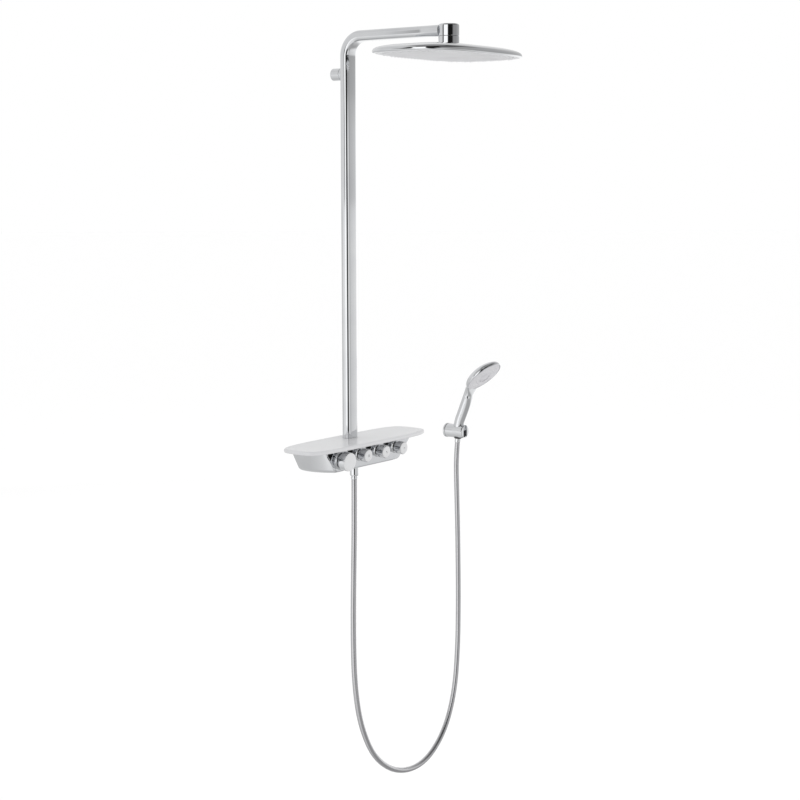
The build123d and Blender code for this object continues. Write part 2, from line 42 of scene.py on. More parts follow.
unit = 0.001
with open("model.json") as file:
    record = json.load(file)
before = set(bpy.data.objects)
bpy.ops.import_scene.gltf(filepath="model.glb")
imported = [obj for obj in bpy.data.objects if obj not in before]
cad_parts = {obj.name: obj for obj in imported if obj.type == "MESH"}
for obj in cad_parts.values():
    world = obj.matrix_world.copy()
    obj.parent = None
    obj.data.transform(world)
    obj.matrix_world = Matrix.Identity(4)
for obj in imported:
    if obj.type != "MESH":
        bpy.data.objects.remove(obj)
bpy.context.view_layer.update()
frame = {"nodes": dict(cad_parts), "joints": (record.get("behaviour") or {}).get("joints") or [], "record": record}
joints = {joint["name"]: joint for joint in frame["joints"]}
print("frame loaded:", len(frame["nodes"]), "nodes")


def boxOf(node):
    # lowest and highest corner of a CAD node
    low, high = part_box(node)
    return np.array(low) / unit, np.array(high) / unit


def jointLine(name):
    # a joint's place and its unit axis
    axis = np.array(joints[name]["axis"], float)
    return np.array(joints[name].get("pos_m", (0, 0, 0)), float) / unit, axis / np.linalg.norm(axis)


cameraSettings = dict(place=(-2.8858, -2.3514, 0.6134), turn=53.07, tilt=-7.65, roll=-0.10, lens=74.25)


def placeMatrix(right, upward, back, place):
    # three directions and a place as the columns of a matrix
    matrix = np.eye(4)
    matrix[:3, 0], matrix[:3, 1], matrix[:3, 2], matrix[:3, 3] = right, upward, back, place
    return Matrix(matrix.tolist())


def addObject(name, data):
    # a new object in the scene, at the origin
    made = bpy.data.objects.new(name, data)
    bpy.context.scene.collection.objects.link(made)
    return made


def makeCamera(s):
    # the camera looks along a heading turned from +Y towards +X, then tilted and rolled
    turn, tilt, roll = (math.radians(s[key]) for key in ("turn", "tilt", "roll"))
    ahead = np.array([math.sin(turn) * math.cos(tilt), math.cos(turn) * math.cos(tilt), math.sin(tilt)])
    level = np.array([math.cos(turn), -math.sin(turn), 0.0])
    over = np.cross(level, ahead)
    right = math.cos(roll) * level + math.sin(roll) * over
    upward = math.cos(roll) * over - math.sin(roll) * level
    data = bpy.data.cameras.new("camera")
    data.sensor_width = 36
    data.lens = s["lens"]
    data.clip_end = 60
    camera = addObject("camera", data)
    camera.matrix_world = placeMatrix(right, upward, -ahead, s["place"])
    bpy.context.scene.camera = camera


makeCamera(cameraSettings)


# Finishes: every one varies its colour, gloss and surface with noise on Object coordinates.


finishSettings = dict(patch=14.0, patchDetail=4.0, grainDetail=3.0, coatRoughness=0.06, rampFrom=0.25, rampTo=0.75,
                      glossFrom=0.3, glossTo=0.7, grainHeight=0.0002)


def makeFinish(name, metal, dark, light, rough, grain=260.0, bump=0.04, coat=0.0):
    # colour runs from dark to light with slow noise, roughness between two values with finer noise,
    # and a fine grain lifts the surface a few hundredths of a millimetre
    s = finishSettings
    material = bpy.data.materials.new(name)
    material.use_nodes = True
    tree = material.node_tree
    add, join = tree.nodes.new, tree.links.new
    shader = tree.nodes["Principled BSDF"]
    shader.inputs["Metallic"].default_value = metal
    shader.inputs["Coat Weight"].default_value = coat
    shader.inputs["Coat Roughness"].default_value = s["coatRoughness"]
    coords = add("ShaderNodeTexCoord").outputs["Object"]
    slow, fine = add("ShaderNodeTexNoise"), add("ShaderNodeTexNoise")
    for noise, scale, detail in ((slow, s["patch"], s["patchDetail"]), (fine, grain, s["grainDetail"])):
        noise.inputs["Scale"].default_value = scale
        noise.inputs["Detail"].default_value = detail
        join(coords, noise.inputs["Vector"])
    ramp = add("ShaderNodeValToRGB")
    for stop, place, shade in zip(ramp.color_ramp.elements, (s["rampFrom"], s["rampTo"]), (dark, light)):
        stop.position, stop.color = place, (*shade, 1.0)
    join(slow.outputs["Fac"], ramp.inputs["Fac"])
    join(ramp.outputs["Color"], shader.inputs["Base Color"])
    gloss = add("ShaderNodeMapRange")
    for end, value in zip(("From Min", "From Max", "To Min", "To Max"), (s["glossFrom"], s["glossTo"], *rough)):
        gloss.inputs[end].default_value = value
    join(slow.outputs["Fac"], gloss.inputs["Value"])
    join(gloss.outputs["Result"], shader.inputs["Roughness"])
    relief = add("ShaderNodeBump")
    relief.inputs["Strength"].default_value = bump
    relief.inputs["Distance"].default_value = s["grainHeight"]
    join(fine.outputs["Fac"], relief.inputs["Height"])
    join(relief.outputs["Normal"], shader.inputs["Normal"])
    return material


def addGrooveShade(material, attribute, shade):
    # darkens the colour where the piece's own attribute, 0 on a crest and 1 in a groove, is high: painted shade in
    # the grooves
    tree = material.node_tree
    shader = tree.nodes["Principled BSDF"]
    colour = shader.inputs["Base Color"].links[0].from_socket
    depth = tree.nodes.new("ShaderNodeAttribute")
    depth.attribute_name = attribute
    mix = tree.nodes.new("ShaderNodeMix")
    mix.data_type = "RGBA"
    mix.inputs["B"].default_value = (*shade, 1.0)
    tree.links.new(depth.outputs["Fac"], mix.inputs["Factor"])
    tree.links.new(colour, mix.inputs["A"])
    tree.links.new(mix.outputs["Result"], shader.inputs["Base Color"])


finishes = dict(
    chrome=makeFinish("polishedChrome", 1.0, (0.72, 0.73, 0.75), (0.80, 0.81, 0.82),
                      (0.035, 0.065), bump=0.010),
    mirror=makeFinish("mirrorPanel", 1.0, (0.68, 0.69, 0.71), (0.74, 0.75, 0.77), (0.05, 0.09), bump=0.008),
    trayWhite=makeFinish("moonWhite", 0.0, (0.625, 0.628, 0.64), (0.66, 0.663, 0.675),
                         (0.28, 0.36), coat=0.25),
    capWhite=makeFinish("capWhite", 0.0, (0.66, 0.663, 0.67), (0.70, 0.703, 0.71), (0.25, 0.34), coat=0.2),
    sprayWhite=makeFinish("sprayWhite", 0.0, (0.60, 0.595, 0.62), (0.64, 0.635, 0.66),
                          (0.3, 0.4), coat=0.15),
    # the rain face's pale grey is partly its own colour and partly painted shade: it is set darker for a face seen
    # at a grazing angle and shaded between the nozzles
    nozzlePlateShaded=makeFinish("nozzlePlateShaded", 0.0, (0.54, 0.545, 0.56), (0.60, 0.605, 0.62),
                           (0.3, 0.4), coat=0.15),
    hoseMetal=makeFinish("hoseMetal", 1.0, (0.66, 0.66, 0.68), (0.74, 0.74, 0.76), (0.12, 0.18), bump=0.02),
    brass=makeFinish("castBrass", 1.0, (0.62, 0.43, 0.18), (0.76, 0.56, 0.27),
                     (0.25, 0.42), grain=180.0, bump=0.15),
    steel=makeFinish("zincSteel", 1.0, (0.50, 0.51, 0.53), (0.64, 0.65, 0.66),
                     (0.25, 0.40), grain=300.0, bump=0.12),
    rubber=makeFinish("sealRubber", 0.0, (0.012, 0.012, 0.013), (0.03, 0.03, 0.032), (0.55, 0.7), bump=0.2),
    silicone=makeFinish("nozzleSilicone", 0.0, (0.70, 0.70, 0.71), (0.78, 0.78, 0.79),
                        (0.38, 0.5), bump=0.1),
    innerPlastic=makeFinish("innerPlastic", 0.0, (0.20, 0.21, 0.22), (0.27, 0.28, 0.29),
                            (0.4, 0.5), bump=0.15),
    darkPlastic=makeFinish("charcoalPlastic", 0.0, (0.018, 0.018, 0.020), (0.035, 0.035, 0.038),
                           (0.22, 0.32), bump=0.1),
    # dark grey for the printed signs and dial dots, and also for the dark arc of painted shade on the hand
    # shower's face
    print=makeFinish("printAndShadeGrey", 0.0, (0.10, 0.10, 0.11), (0.16, 0.16, 0.17), (0.4, 0.5), bump=0.05),
)
slotFinish = dict(
    chrome="chrome", mirror_panel="mirror", tray_white="trayWhite", cap_white="capWhite", spray_white="sprayWhite",
    hose_metal="hoseMetal", brass="brass", steel="steel", rubber="rubber", silicone="silicone",
    inner_plastic="innerPlastic", dark_plastic="darkPlastic",
)
for subpart in frame["record"]["subparts"]:
    node = frame["nodes"][subpart["node"]]
    node.data.materials.clear()
    node.data.materials.append(finishes[slotFinish[subpart["material_slot"]]])
print("finishes:", len(finishes))


# Shapes are whole arrays: (points, quads, triangles). A grid is rows of closed loops.


def gridFaces(rows, cols, wrapRows, wrapCols):
    # one quad between each pair of neighbouring rows and columns
    r = np.arange(rows if wrapRows else rows - 1)[:, None]
    c = np.arange(cols if wrapCols else cols - 1)[None]
    r2, c2 = (r + 1) % rows, (c + 1) % cols
    return np.stack([r * cols + c, r2 * cols + c, r2 * cols + c2, r * cols + c2], -1).reshape(-1, 4)


def facedOut(points, quads, tris):
    # the sum of a . (b x c) over the faces is six times the volume inside; a negative one turns every face round
    a, b, c, d = (points[quads[:, i]] for i in range(4))
    volume = np.sum(a * np.cross(b, c)) + np.sum(a * np.cross(c, d))
    if len(tris):
        a, b, c = (points[tris[:, i]] for i in range(3))
        volume += np.sum(a * np.cross(b, c))
    return (points, quads, tris) if volume >= 0 else (points, quads[:, ::-1], tris[:, ::-1])


def stacked(rings, ends=None):
    # loops in rows, with a fan to a point at each end; the rows join end to end where no ends are wanted
    rings = np.array(rings, float)
    rows, cols = rings.shape[:2]
    points = rings.reshape(-1, 3)
    noTris = np.zeros((0, 3), int)
    if ends == "wrap":
        return facedOut(points, gridFaces(rows, cols, True, True), noTris)
    if ends is None:
        ends = (rings[0].mean(0), rings[-1].mean(0))
    points = np.concatenate([points, np.array(ends, float)])
    col = np.arange(cols)
    after = (col + 1) % cols
    base = (rows - 1) * cols
    tris = np.concatenate([
        np.stack([np.full(cols, rows * cols), col, after], -1),
        np.stack([np.full(cols, rows * cols + 1), base + after, base + col], -1),
    ])
    return facedOut(points, gridFaces(rows, cols, False, True), tris)


def joined(*shapes):
    # several shapes as one, each with its own points
    starts = np.cumsum([0] + [len(shape[0]) for shape in shapes])[:-1]
    return tuple(np.concatenate([shape[k] + (start if k else 0) for shape, start in zip(shapes, starts)])
                 for k in range(3))


def roundedLine(corners, closed=False, steps=5, support=0.3):
    # rows of (x, y, radius): each corner becomes an arc tangent to its two runs, with a point on each run
    # beside it
    corners = np.array([(*corner, 0.0)[:3] for corner in corners], float)
    count, parts = len(corners), []
    for i in range(count):
        here, radius = corners[i, :2], corners[i, 2]
        if radius <= 0 or (not closed and i in (0, count - 1)):
            parts.append(here[None])
            continue
        runs = corners[i - 1, :2] - here, corners[(i + 1) % count, :2] - here
        spans = [np.linalg.norm(run) for run in runs]
        a, b = runs[0] / spans[0], runs[1] / spans[1]
        half = math.acos(np.clip(a @ b, -1, 1)) / 2
        reach, sweep = radius / math.tan(half), math.pi - 2 * half
        centre = here + (a + b) / np.linalg.norm(a + b) * radius / math.sin(half)
        t = np.linspace(0, 1, steps + 1)[:, None] * sweep
        arc = centre + (np.sin(sweep - t) * (here + a * reach - centre)
                        + np.sin(t) * (here + b * reach - centre)) / math.sin(sweep)
        extra = [min(support, 0.2 * max(span - reach, 0.0)) for span in spans]
        parts += [(here + a * (reach + extra[0]))[None], arc, (here + b * (reach + extra[1]))[None]]
    return np.concatenate(parts)


def sidesOf(axis):
    # two directions square to an axis, the first one level
    axis = np.array(axis, float)
    level = np.cross(axis, (0, 0, 1.0))
    length = np.linalg.norm(level)
    level = np.array([1.0, 0, 0]) if length < 1e-6 else level / length
    return level, np.cross(axis, level)


def turned(profile, origin, axis, segments=96, closed=False):
    # a line of (radius, height) turned about an axis: origin + radius * spoke + height * axis.
    # An open line starts and ends on the axis, and a closed one makes a ring.
    profile, origin, axis = np.array(profile, float), np.array(origin, float), np.array(axis, float)
    level, over = sidesOf(axis)
    angle = np.linspace(0, 2 * math.pi, segments, endpoint=False)[:, None]
    spoke = np.cos(angle) * level + np.sin(angle) * over
    line = profile if closed else profile[1:-1]
    rings = origin + line[:, 0, None, None] * spoke[None] + line[:, 1, None, None] * axis
    return stacked(rings, "wrap" if closed else (origin + profile[0, 1] * axis, origin + profile[-1, 1] * axis))


def smoothRows(rows, count):
    # a Catmull-Rom line through rows of numbers: each span is the cubic whose slopes follow its neighbours
    rows = np.array(rows, float)
    padded = np.concatenate([2 * rows[:1] - rows[1:2], rows, 2 * rows[-1:] - rows[-2:-1]])
    place = np.linspace(0, len(rows) - 1, count)
    i = np.minimum(place.astype(int), len(rows) - 2)
    t = (place - i)[:, None]
    a, b, c, d = (padded[i + k] for k in range(4))
    return 0.5 * (2 * b + (c - a) * t + (2 * a - 5 * b + 4 * c - d) * t**2 + (3 * b - a - 3 * c + d) * t**3)


def inset(loop, amount):
    # a flat closed loop drawn in square to its own line
    along = np.roll(loop, -1, 0) - np.roll(loop, 1, 0)
    inward = np.stack([-along[:, 1], along[:, 0]], -1) / np.linalg.norm(along, axis=1)[:, None]
    area = np.sum(loop[:, 0] * np.roll(loop[:, 1], -1) - np.roll(loop[:, 0], -1) * loop[:, 1])
    return loop + inward * amount * np.sign(area)


def evenly(loop, count):
    # the same closed line with its points an equal distance apart
    ring = np.concatenate([loop, loop[:1]])
    place = np.concatenate([[0], np.cumsum(np.linalg.norm(np.diff(ring, axis=0), axis=1))])
    even = np.linspace(0, place[-1], count, endpoint=False)
    return np.stack([np.interp(even, place, ring[:, k]) for k in range(loop.shape[1])], -1)


def superellipse(halfX, halfY, exponent, count):
    # |x / halfX| ** n + |y / halfY| ** n = 1
    angle = np.linspace(0, 2 * math.pi, 6000, endpoint=False) + 1e-4
    curve = [half * np.sign(f(angle)) * np.abs(f(angle)) ** (2 / exponent)
             for half, f in ((halfX, np.cos), (halfY, np.sin))]
    return evenly(np.stack(curve, -1), count)


def makeMesh(name, shape):
    # a mesh of the shape, in metres
    points, quads, tris = shape
    mesh = bpy.data.meshes.new(name)
    mesh.from_pydata((points * unit).tolist(), [], quads.tolist() + tris.tolist())
    return mesh


def smoothOver(mesh, crease):
    # smooth all over, with edges sharper than the crease angle left crisp
    mesh.polygons.foreach_set("use_smooth", np.ones(len(mesh.polygons), bool))
    mesh.set_sharp_from_angle(angle=math.radians(crease))


def makePiece(name, shape, finish, body, replaces=(), crease=38.0):
    # the shape as a smooth piece that rides on a body
    mesh = makeMesh(name, shape)
    mesh.update()
    smoothOver(mesh, crease)
    mesh.materials.append(finishes[finish])
    piece = addObject(name, mesh)
    if body:
        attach(piece, body)
    if replaces:
        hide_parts(*replaces)
    return piece


def makeChrome(name, shape, body, *nodes):
    return makePiece(name, shape, "chrome", body, nodes)


def wallDisc(node):
    # a round node on the wall: its centre, its radius, and how far from the wall it starts and ends
    low, high = boxOf(node)
    centre = ((low[0] + high[0]) / 2, 0, (low[2] + high[2]) / 2)
    return centre, (high[0] - low[0]) / 2, -high[1], -low[1]


def levelLoop(loop, centre, level):
    # a flat loop laid level round a centre
    return np.column_stack([centre[:2] + loop, np.full(len(loop), level)])


# The hose: its line is one spline through the route, and its skin is wound with fine ribs.

hoseSettings = dict(
    radius=6.5,
    ribDepth=0.20,
    ribPitch=2.4,
    step=0.6,
    sides=16,
    route=(
        (0.000, -0.0520, -0.0630),
        (0.000, -0.0520, -0.1650),
        (-0.005, -0.0525, -0.3000),
        (-0.008, -0.0530, -0.4300),
        (-0.003, -0.0525, -0.5480),
        (0.020, -0.0510, -0.6500),
        (0.077, -0.0475, -0.7470),
        (0.178, -0.0410, -0.8125),
        (0.292, -0.0350, -0.8250),
        (0.380, -0.0330, -0.7710),
        (0.428, -0.0318, -0.6780),
        (0.443, -0.0312, -0.5620),
        (0.4445, -0.0315, -0.4400),
        (0.443, -0.0312, -0.3300),
        (0.4405, -0.0306, -0.2250),
        (0.438, -0.0292, -0.1350),
        (0.436, -0.0295, -0.0777),
        (0.436, -0.03314, -0.0358),
    ),
    bendFrom=(0.05, -0.04, -0.75),
    bendTo=(0.42, -0.04, -0.75),
)


def splineLine(name, route, fineness):
    # the points of an order 3 spline that has the route as its control points
    data = bpy.data.curves.new(name, "CURVE")
    data.dimensions = "3D"
    data.resolution_u = fineness
    spline = data.splines.new("NURBS")
    spline.points.add(len(route) - 1)
    spline.points.foreach_set("co", np.array([(*point, 1.0) for point in route]).ravel())
    spline.order_u = 3
    spline.use_endpoint_u = True
    holder = addObject(name, data)
    bpy.context.view_layer.update()
    mesh = bpy.data.meshes.new_from_object(holder)
    line = np.zeros(len(mesh.vertices) * 3)
    mesh.vertices.foreach_get("co", line)
    bpy.data.objects.remove(holder)
    bpy.data.curves.remove(data)
    bpy.data.meshes.remove(mesh)
    return line.reshape(-1, 3)


def alongLine(line, step):
    # points an equal distance apart on a line, its unit tangents, and the distance of each
    gaps = np.linalg.norm(np.diff(line, axis=0), axis=1)
    place = np.concatenate([[0], np.cumsum(gaps)])
    even = np.linspace(0, place[-1], int(round(place[-1] / step)) + 1)
    points = np.stack([np.interp(even, place, line[:, k]) for k in range(3)], -1)
    tangents = np.gradient(points, axis=0)
    return points, tangents / np.linalg.norm(tangents, axis=1)[:, None], even


def makeHose(s):
    # a ring of points round each place on the line; its radius dips by the rib depth between turns of the winding
    line = splineLine("hoseLine", s["route"], 30) / unit
    points, tangents, distance = alongLine(line, s["step"])
    across = np.cross(tangents, (0.06, 1.0, 0.0))
    across /= np.linalg.norm(across, axis=1)[:, None]
    over = np.cross(tangents, across)
    angle = np.linspace(0, 2 * math.pi, s["sides"], endpoint=False)
    groove = np.abs(np.sin(math.pi * (distance[:, None] / s["ribPitch"] + angle / (2 * math.pi)))) ** 6
    radius = s["radius"] - s["ribDepth"] * groove
    spoke = np.cos(angle)[None, :, None] * across[:, None] + np.sin(angle)[None, :, None] * over[:, None]
    shape = stacked(points[:, None] + radius[:, :, None] * spoke)
    hose = makePiece("hose_skin", shape, "hoseMetal", None, ["hose"], crease=180.0)
    # the groove depth is kept on the mesh to paint shade into the grooves
    depth = hose.data.attributes.new("grooveDepth", "FLOAT", "POINT")
    depth.data.foreach_set("value", np.concatenate([groove.ravel(), [0, 0]]).astype(np.float32))
    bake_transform(hose)
    return hose, line * unit, distance[-1] * unit


addGrooveShade(finishes["hoseMetal"], "grooveDepth", (0.30, 0.30, 0.31))
hoseSkin, hoseLine, hoseLength = makeHose(hoseSettings)
print("hose length", round(hoseLength, 4), "m,", len(hoseSkin.data.polygons), "faces")


# Column: riser with its bend and arm, the arm's end, and the bracket.

riserSettings = dict(
    halfWidth=18.5,
    halfDepth=11.5,
    corner=8.0,
    bendRadius=42.0,
    bendSteps=28,
    upSteps=12,
    armSteps=40,
    flareLength=46.0,
    flareWidth=21.2,
    flareDrop=1.4,
    endInset=14.0,
    frontCrown=1.6,
    sideCrown=0.5,
)


def makeRiser(s):
    # a rounded rectangle carried up the wall, round a quarter circle and out along the arm, widening into its end;
    # its faces fall away from their middles by a crown times the square of the distance
    low, high = boxOf("riser_pipe")
    wallSide = high[1] - s["halfDepth"]
    armLevel = high[2] - s["halfDepth"]
    headPlace = boxOf("arm_end_housing")
    headY = (headPlace[0][1] + headPlace[1][1]) / 2
    corner = (s["halfWidth"], s["halfDepth"], s["corner"])
    corners = [(a * corner[0], b * corner[1], corner[2]) for a, b in ((1, 1), (-1, 1), (-1, -1), (1, -1))]
    outline = roundedLine(corners, True, 10, 0.6)
    crown = (outline / corner[:2]) ** 2
    outline[:, 1] *= 1 - np.where(outline[:, 1] < 0, s["frontCrown"] / s["halfDepth"] * crown[:, 0], 0)
    outline[:, 0] *= 1 - s["sideCrown"] / s["halfWidth"] * crown[:, 1]
    radius, ups, outs = s["bendRadius"], s["upSteps"], s["armSteps"]
    straight = np.linspace(low[2], armLevel - radius, ups)
    sweep = np.linspace(0, math.pi / 2, s["bendSteps"] + 2)[1:-1]
    armEnd = headY + s["endInset"]
    run = np.linspace(wallSide - radius, armEnd, outs)
    centre = np.concatenate([
        np.stack([np.full(ups, wallSide), straight], -1),
        np.stack([wallSide - radius + radius * np.cos(sweep), armLevel - radius + radius * np.sin(sweep)], -1),
        np.stack([run, np.full(outs, armLevel)], -1),
    ])
    turn = np.concatenate([np.zeros(ups), sweep, np.full(outs, math.pi / 2)])
    outward = np.stack([np.cos(turn), np.sin(turn)], -1)
    share = np.clip((armEnd - run) / s["flareLength"] + 1, 0, 1)
    share = np.concatenate([np.zeros(len(centre) - outs), share * share * (3 - 2 * share)])[:, None]
    u = outline[None, :, 0] * (1 + share * (s["flareWidth"] / s["halfWidth"] - 1))
    v = outline[None, :, 1] - share * s["flareDrop"] * np.clip(-outline[None, :, 1] / s["halfDepth"], 0, 1)
    rings = np.stack([u, *(centre[:, k, None] + v * outward[:, k, None] for k in (0, 1))], -1)
    makeChrome("riser_and_arm", stacked(rings), "column", "riser_pipe")


armEndSettings = dict(radius=22.0, domeRadius=4.2, seamRadius=0.7, crown=0.8, bore=12.0, footFlare=1.6)


def makeArmEnd(s):
    # an upright drum with a soft shoulder and a nearly flat crown over the swivel's seam
    low, high = boxOf("arm_end_housing")
    middle = (low + high) / 2
    bottom, top = low[2], high[2]
    profile = roundedLine([(0, bottom), (s["radius"], bottom, s["seamRadius"]),
                           (s["radius"], top - s["crown"], s["domeRadius"]), (0, top)], steps=8)
    makeChrome("arm_end_drum", turned(profile, (*middle[:2], 0), (0, 0, 1), 128), "column", "arm_end_housing")
    low, high = boxOf("swivel_collar")
    bore, radius = s["bore"], s["radius"]
    profile = roundedLine([(bore, low[2] - 1.0), (radius + s["footFlare"], low[2] - 0.9, 0.5),
                           (radius, low[2] + 1.3, 1.2), (radius, high[2], s["seamRadius"]), (bore, high[2])],
                          steps=5)
    profile = np.concatenate([profile, [(bore, (low[2] + high[2]) / 2)]])
    makeChrome("swivel_sleeve", turned(profile, (*middle[:2], 0), (0, 0, 1), 128, True), "head_shower",
               "swivel_collar")


bracketSettings = dict(edge=1.1, sleeveBore=11.3, footRadius=5.8, footLength=6.0, footReach=2.0)


def makeBracket(s):
    # a round sleeve from the wall and a shorter saddle between it and the riser
    centre, radius, near, far = wallDisc("bracket_sleeve")
    bore = s["sleeveBore"]
    sleeve = roundedLine([(bore, near), (radius, near, s["edge"]), (radius, far, 0.5), (bore, far)], True)
    makeChrome("bracket_tube", turned(sleeve, centre, (0, -1, 0), 96, True), "column", "bracket_sleeve")
    radius, near, far = wallDisc("bracket_saddle")[1:]
    foot, step, end = s["footRadius"], near + s["footLength"], far + s["footReach"]
    saddle = roundedLine([(0, near), (foot, near, 0.3), (foot, step, 0.2), (radius, step + 0.05, 0.5),
                          (radius, end), (0, end)])
    makeChrome("bracket_foot", turned(saddle, centre, (0, -1, 0), 96), "column", "bracket_saddle")


# Head shower: a domed shell over a flat spray face full of soft nozzles.

headSettings = dict(
    exponent=3.6,
    count=192,
    # rows of height and share of the outline
    crown=((868.1, 0.972), (868.5, 0.986), (870.0, 0.998), (872.0, 1.0), (874.6, 0.997), (877.4, 0.984),
           (880.2, 0.952), (883.0, 0.890), (885.6, 0.790), (887.6, 0.640), (889.0, 0.450), (890.0, 0.240),
           (890.3, 0.100)),
    crownRows=46,
    lip=((0.1, 0.966), (0.9, 0.963), (1.0, 0.90)),
    faceScale=0.962,
    faceSink=0.5,
    nozzlePitch=11.6,
    nozzleField=0.885,
    nozzleProfile=((2.5, 0.0), (2.3, 1.0), (1.6, 1.8), (1.3, 2.7), (0.5, 3.1)),
    nozzleSides=8,
)


def repeated(shape, places):
    # one small shape copied to many places
    points, quads, tris = shape
    offset = (np.arange(len(places)) * len(points))[:, None, None]
    every = (points[None] + places[:, None]).reshape(-1, 3)
    return every, (quads[None] + offset).reshape(-1, 4), (tris[None] + offset).reshape(-1, 3)


def makeHead(s):
    # the plan outline scaled along a crown for the shell, and drawn in round an edge for the spray face;
    # the nozzles stand in offset rows wherever |x / a| ** n + |y / b| ** n is within the field
    low, high = boxOf("head_top_shell")
    centre = (low + high) / 2
    half = (high - low) / 2
    outline = superellipse(half[0], half[1], s["exponent"], s["count"])
    levels = smoothRows(s["crown"], s["crownRows"])
    inner = np.array([(levels[0, 0] + rise, share) for rise, share in s["lip"]])
    rows = np.concatenate([inner[::-1], levels])
    rings = np.concatenate([centre[:2] + rows[:, 1, None, None] * outline[None],
                            np.broadcast_to(rows[:, 0, None, None], (len(rows), s["count"], 1))], -1)
    ends = ((*centre[:2], rows[0, 0]), (*centre[:2], rows[-1, 0] + 0.05))
    makeChrome("rain_head_shell", stacked(rings, ends), "head_shower", "head_top_shell")

    faceLevel = boxOf("head_spray_face")[0][2] + s["faceSink"]
    edge = roundedLine([(0.0, 3.0), (0.0, 0.0, 0.8), (60.0, 0.0)], steps=4)[:-1]
    plan = [(inset(outline * s["faceScale"], amount), height) for amount, height in edge]
    plan += [(outline * s["faceScale"] * share, 0.0) for share in (0.9, 0.6, 0.3)]
    rings = [levelLoop(loop, centre, faceLevel + height) for loop, height in plan]
    # the spray face's darker grey is partly painted shade
    makePiece("rain_spray_face", stacked(rings), "nozzlePlateShaded", "head_shower", ["head_spray_face"])

    pitch = s["nozzlePitch"]
    across = np.arange(-half[0], half[0], pitch)
    along = np.arange(-half[1], half[1], pitch * 0.866)
    x = (across - across.mean())[None] + 0.25 * pitch * (-1.0) ** np.arange(len(along))[:, None]
    y = np.broadcast_to((along - along.mean())[:, None], x.shape)
    power = s["exponent"]
    inside = np.abs(x / half[0]) ** power + np.abs(y / half[1]) ** power < s["nozzleField"] ** power
    places = np.stack([centre[0] + x[inside], centre[1] + y[inside], np.full(inside.sum(), faceLevel)], -1)
    angle = np.linspace(0, 2 * math.pi, s["nozzleSides"], endpoint=False)
    tip = [[(r * math.cos(a), r * math.sin(a), -h) for a in angle] for r, h in s["nozzleProfile"]]
    makePiece("rain_nozzles", repeated(stacked(tip), places), "silicone", "head_shower", (), crease=60)
    return len(places)


makeRiser(riserSettings)
makeArmEnd(armEndSettings)
makeBracket(bracketSettings)
print("column done, rain nozzles:", makeHead(headSettings))


# Shelf tray and mixer housing.

traySettings = dict(shift=-3.0, exponent=4.4, count=200, edge=3.6, underEdge=3.0, dish=0.35, rim=5.0)


def makeTray(s):
    # the plan outline drawn in along a profile: rounded under edge, side, rounded top edge and a faintly dished
    # top
    low, high = boxOf("shelf_tray")
    centre, half = (low + high) / 2, (high - low) / 2
    centre[0] += s["shift"]
    outline = superellipse(half[0], half[1], s["exponent"], s["count"])
    profile = roundedLine([(12.0, low[2]), (0, low[2], s["underEdge"]), (0, high[2], s["edge"]),
                           (s["rim"] + 3.0, high[2], 1.5), (s["rim"] + 9.0, high[2] - s["dish"])], steps=7)
    rings = [levelLoop(inset(outline, amount), centre, level) for amount, level in profile]
    last = inset(outline, profile[-1, 0])
    rings += [levelLoop(last * share, centre, profile[-1, 1]) for share in (0.75, 0.5, 0.25)]
    first = inset(outline, profile[0, 0])
    under = [levelLoop(first * share, centre, low[2]) for share in (0.3, 0.6, 0.9)]
    makePiece("tray_plate", stacked(under + rings), "trayWhite", "column", ["shelf_tray"])


housingSettings = dict(
    backHalf=(158.0, 128.0),
    frontHalf=(156.0, 112.0),
    bulge=11.0,
    wall=2.6,
    frontSlope=4.0,
    sink=1.5,
    lipReach=16.0,
    bottomEdge=7.0,
    arcPoints=30,
    frontPoints=12,
    rows=22,
)


def housingPlan(s, share, low, high, drop):
    # an open line round the housing at a share of its depth: back lip, end arc, front, end arc, back lip.
    # Each end is the circle through the back corner, a bulge and the front corner.
    backHalf, frontHalf = (top + (bottom - top) * share - drop for top, bottom in (s["backHalf"], s["frontHalf"]))
    backY, frontY = high[1], low[1] + s["frontSlope"] * share + drop
    back, front = np.array([backHalf, backY]), np.array([frontHalf, frontY])
    chord = front - back
    length = np.linalg.norm(chord)
    rise = s["bulge"]
    radius = (length**2 / 4 + rise**2) / (2 * rise)
    outward = np.array([-chord[1], chord[0]]) / length
    middle = (back + front) / 2 - outward * (radius - rise)
    start = math.atan2(*(back - middle)[::-1])
    finish = math.atan2(*(front - middle)[::-1])
    angle = np.linspace(start, finish, s["arcPoints"])
    arc = middle + radius * np.stack([np.cos(angle), np.sin(angle)], -1)
    flat = np.linspace(0, 1, s["frontPoints"] + 2)[1:-1, None]
    frontRun = arc[-1] * (1 - flat) + arc[-1] * (-1, 1) * flat
    lip = np.array([(backHalf - s["lipReach"], backY), (backHalf - 0.5 * s["lipReach"], backY)])
    half = np.concatenate([lip, arc])
    return np.concatenate([half, frontRun, half[::-1] * (-1, 1)])


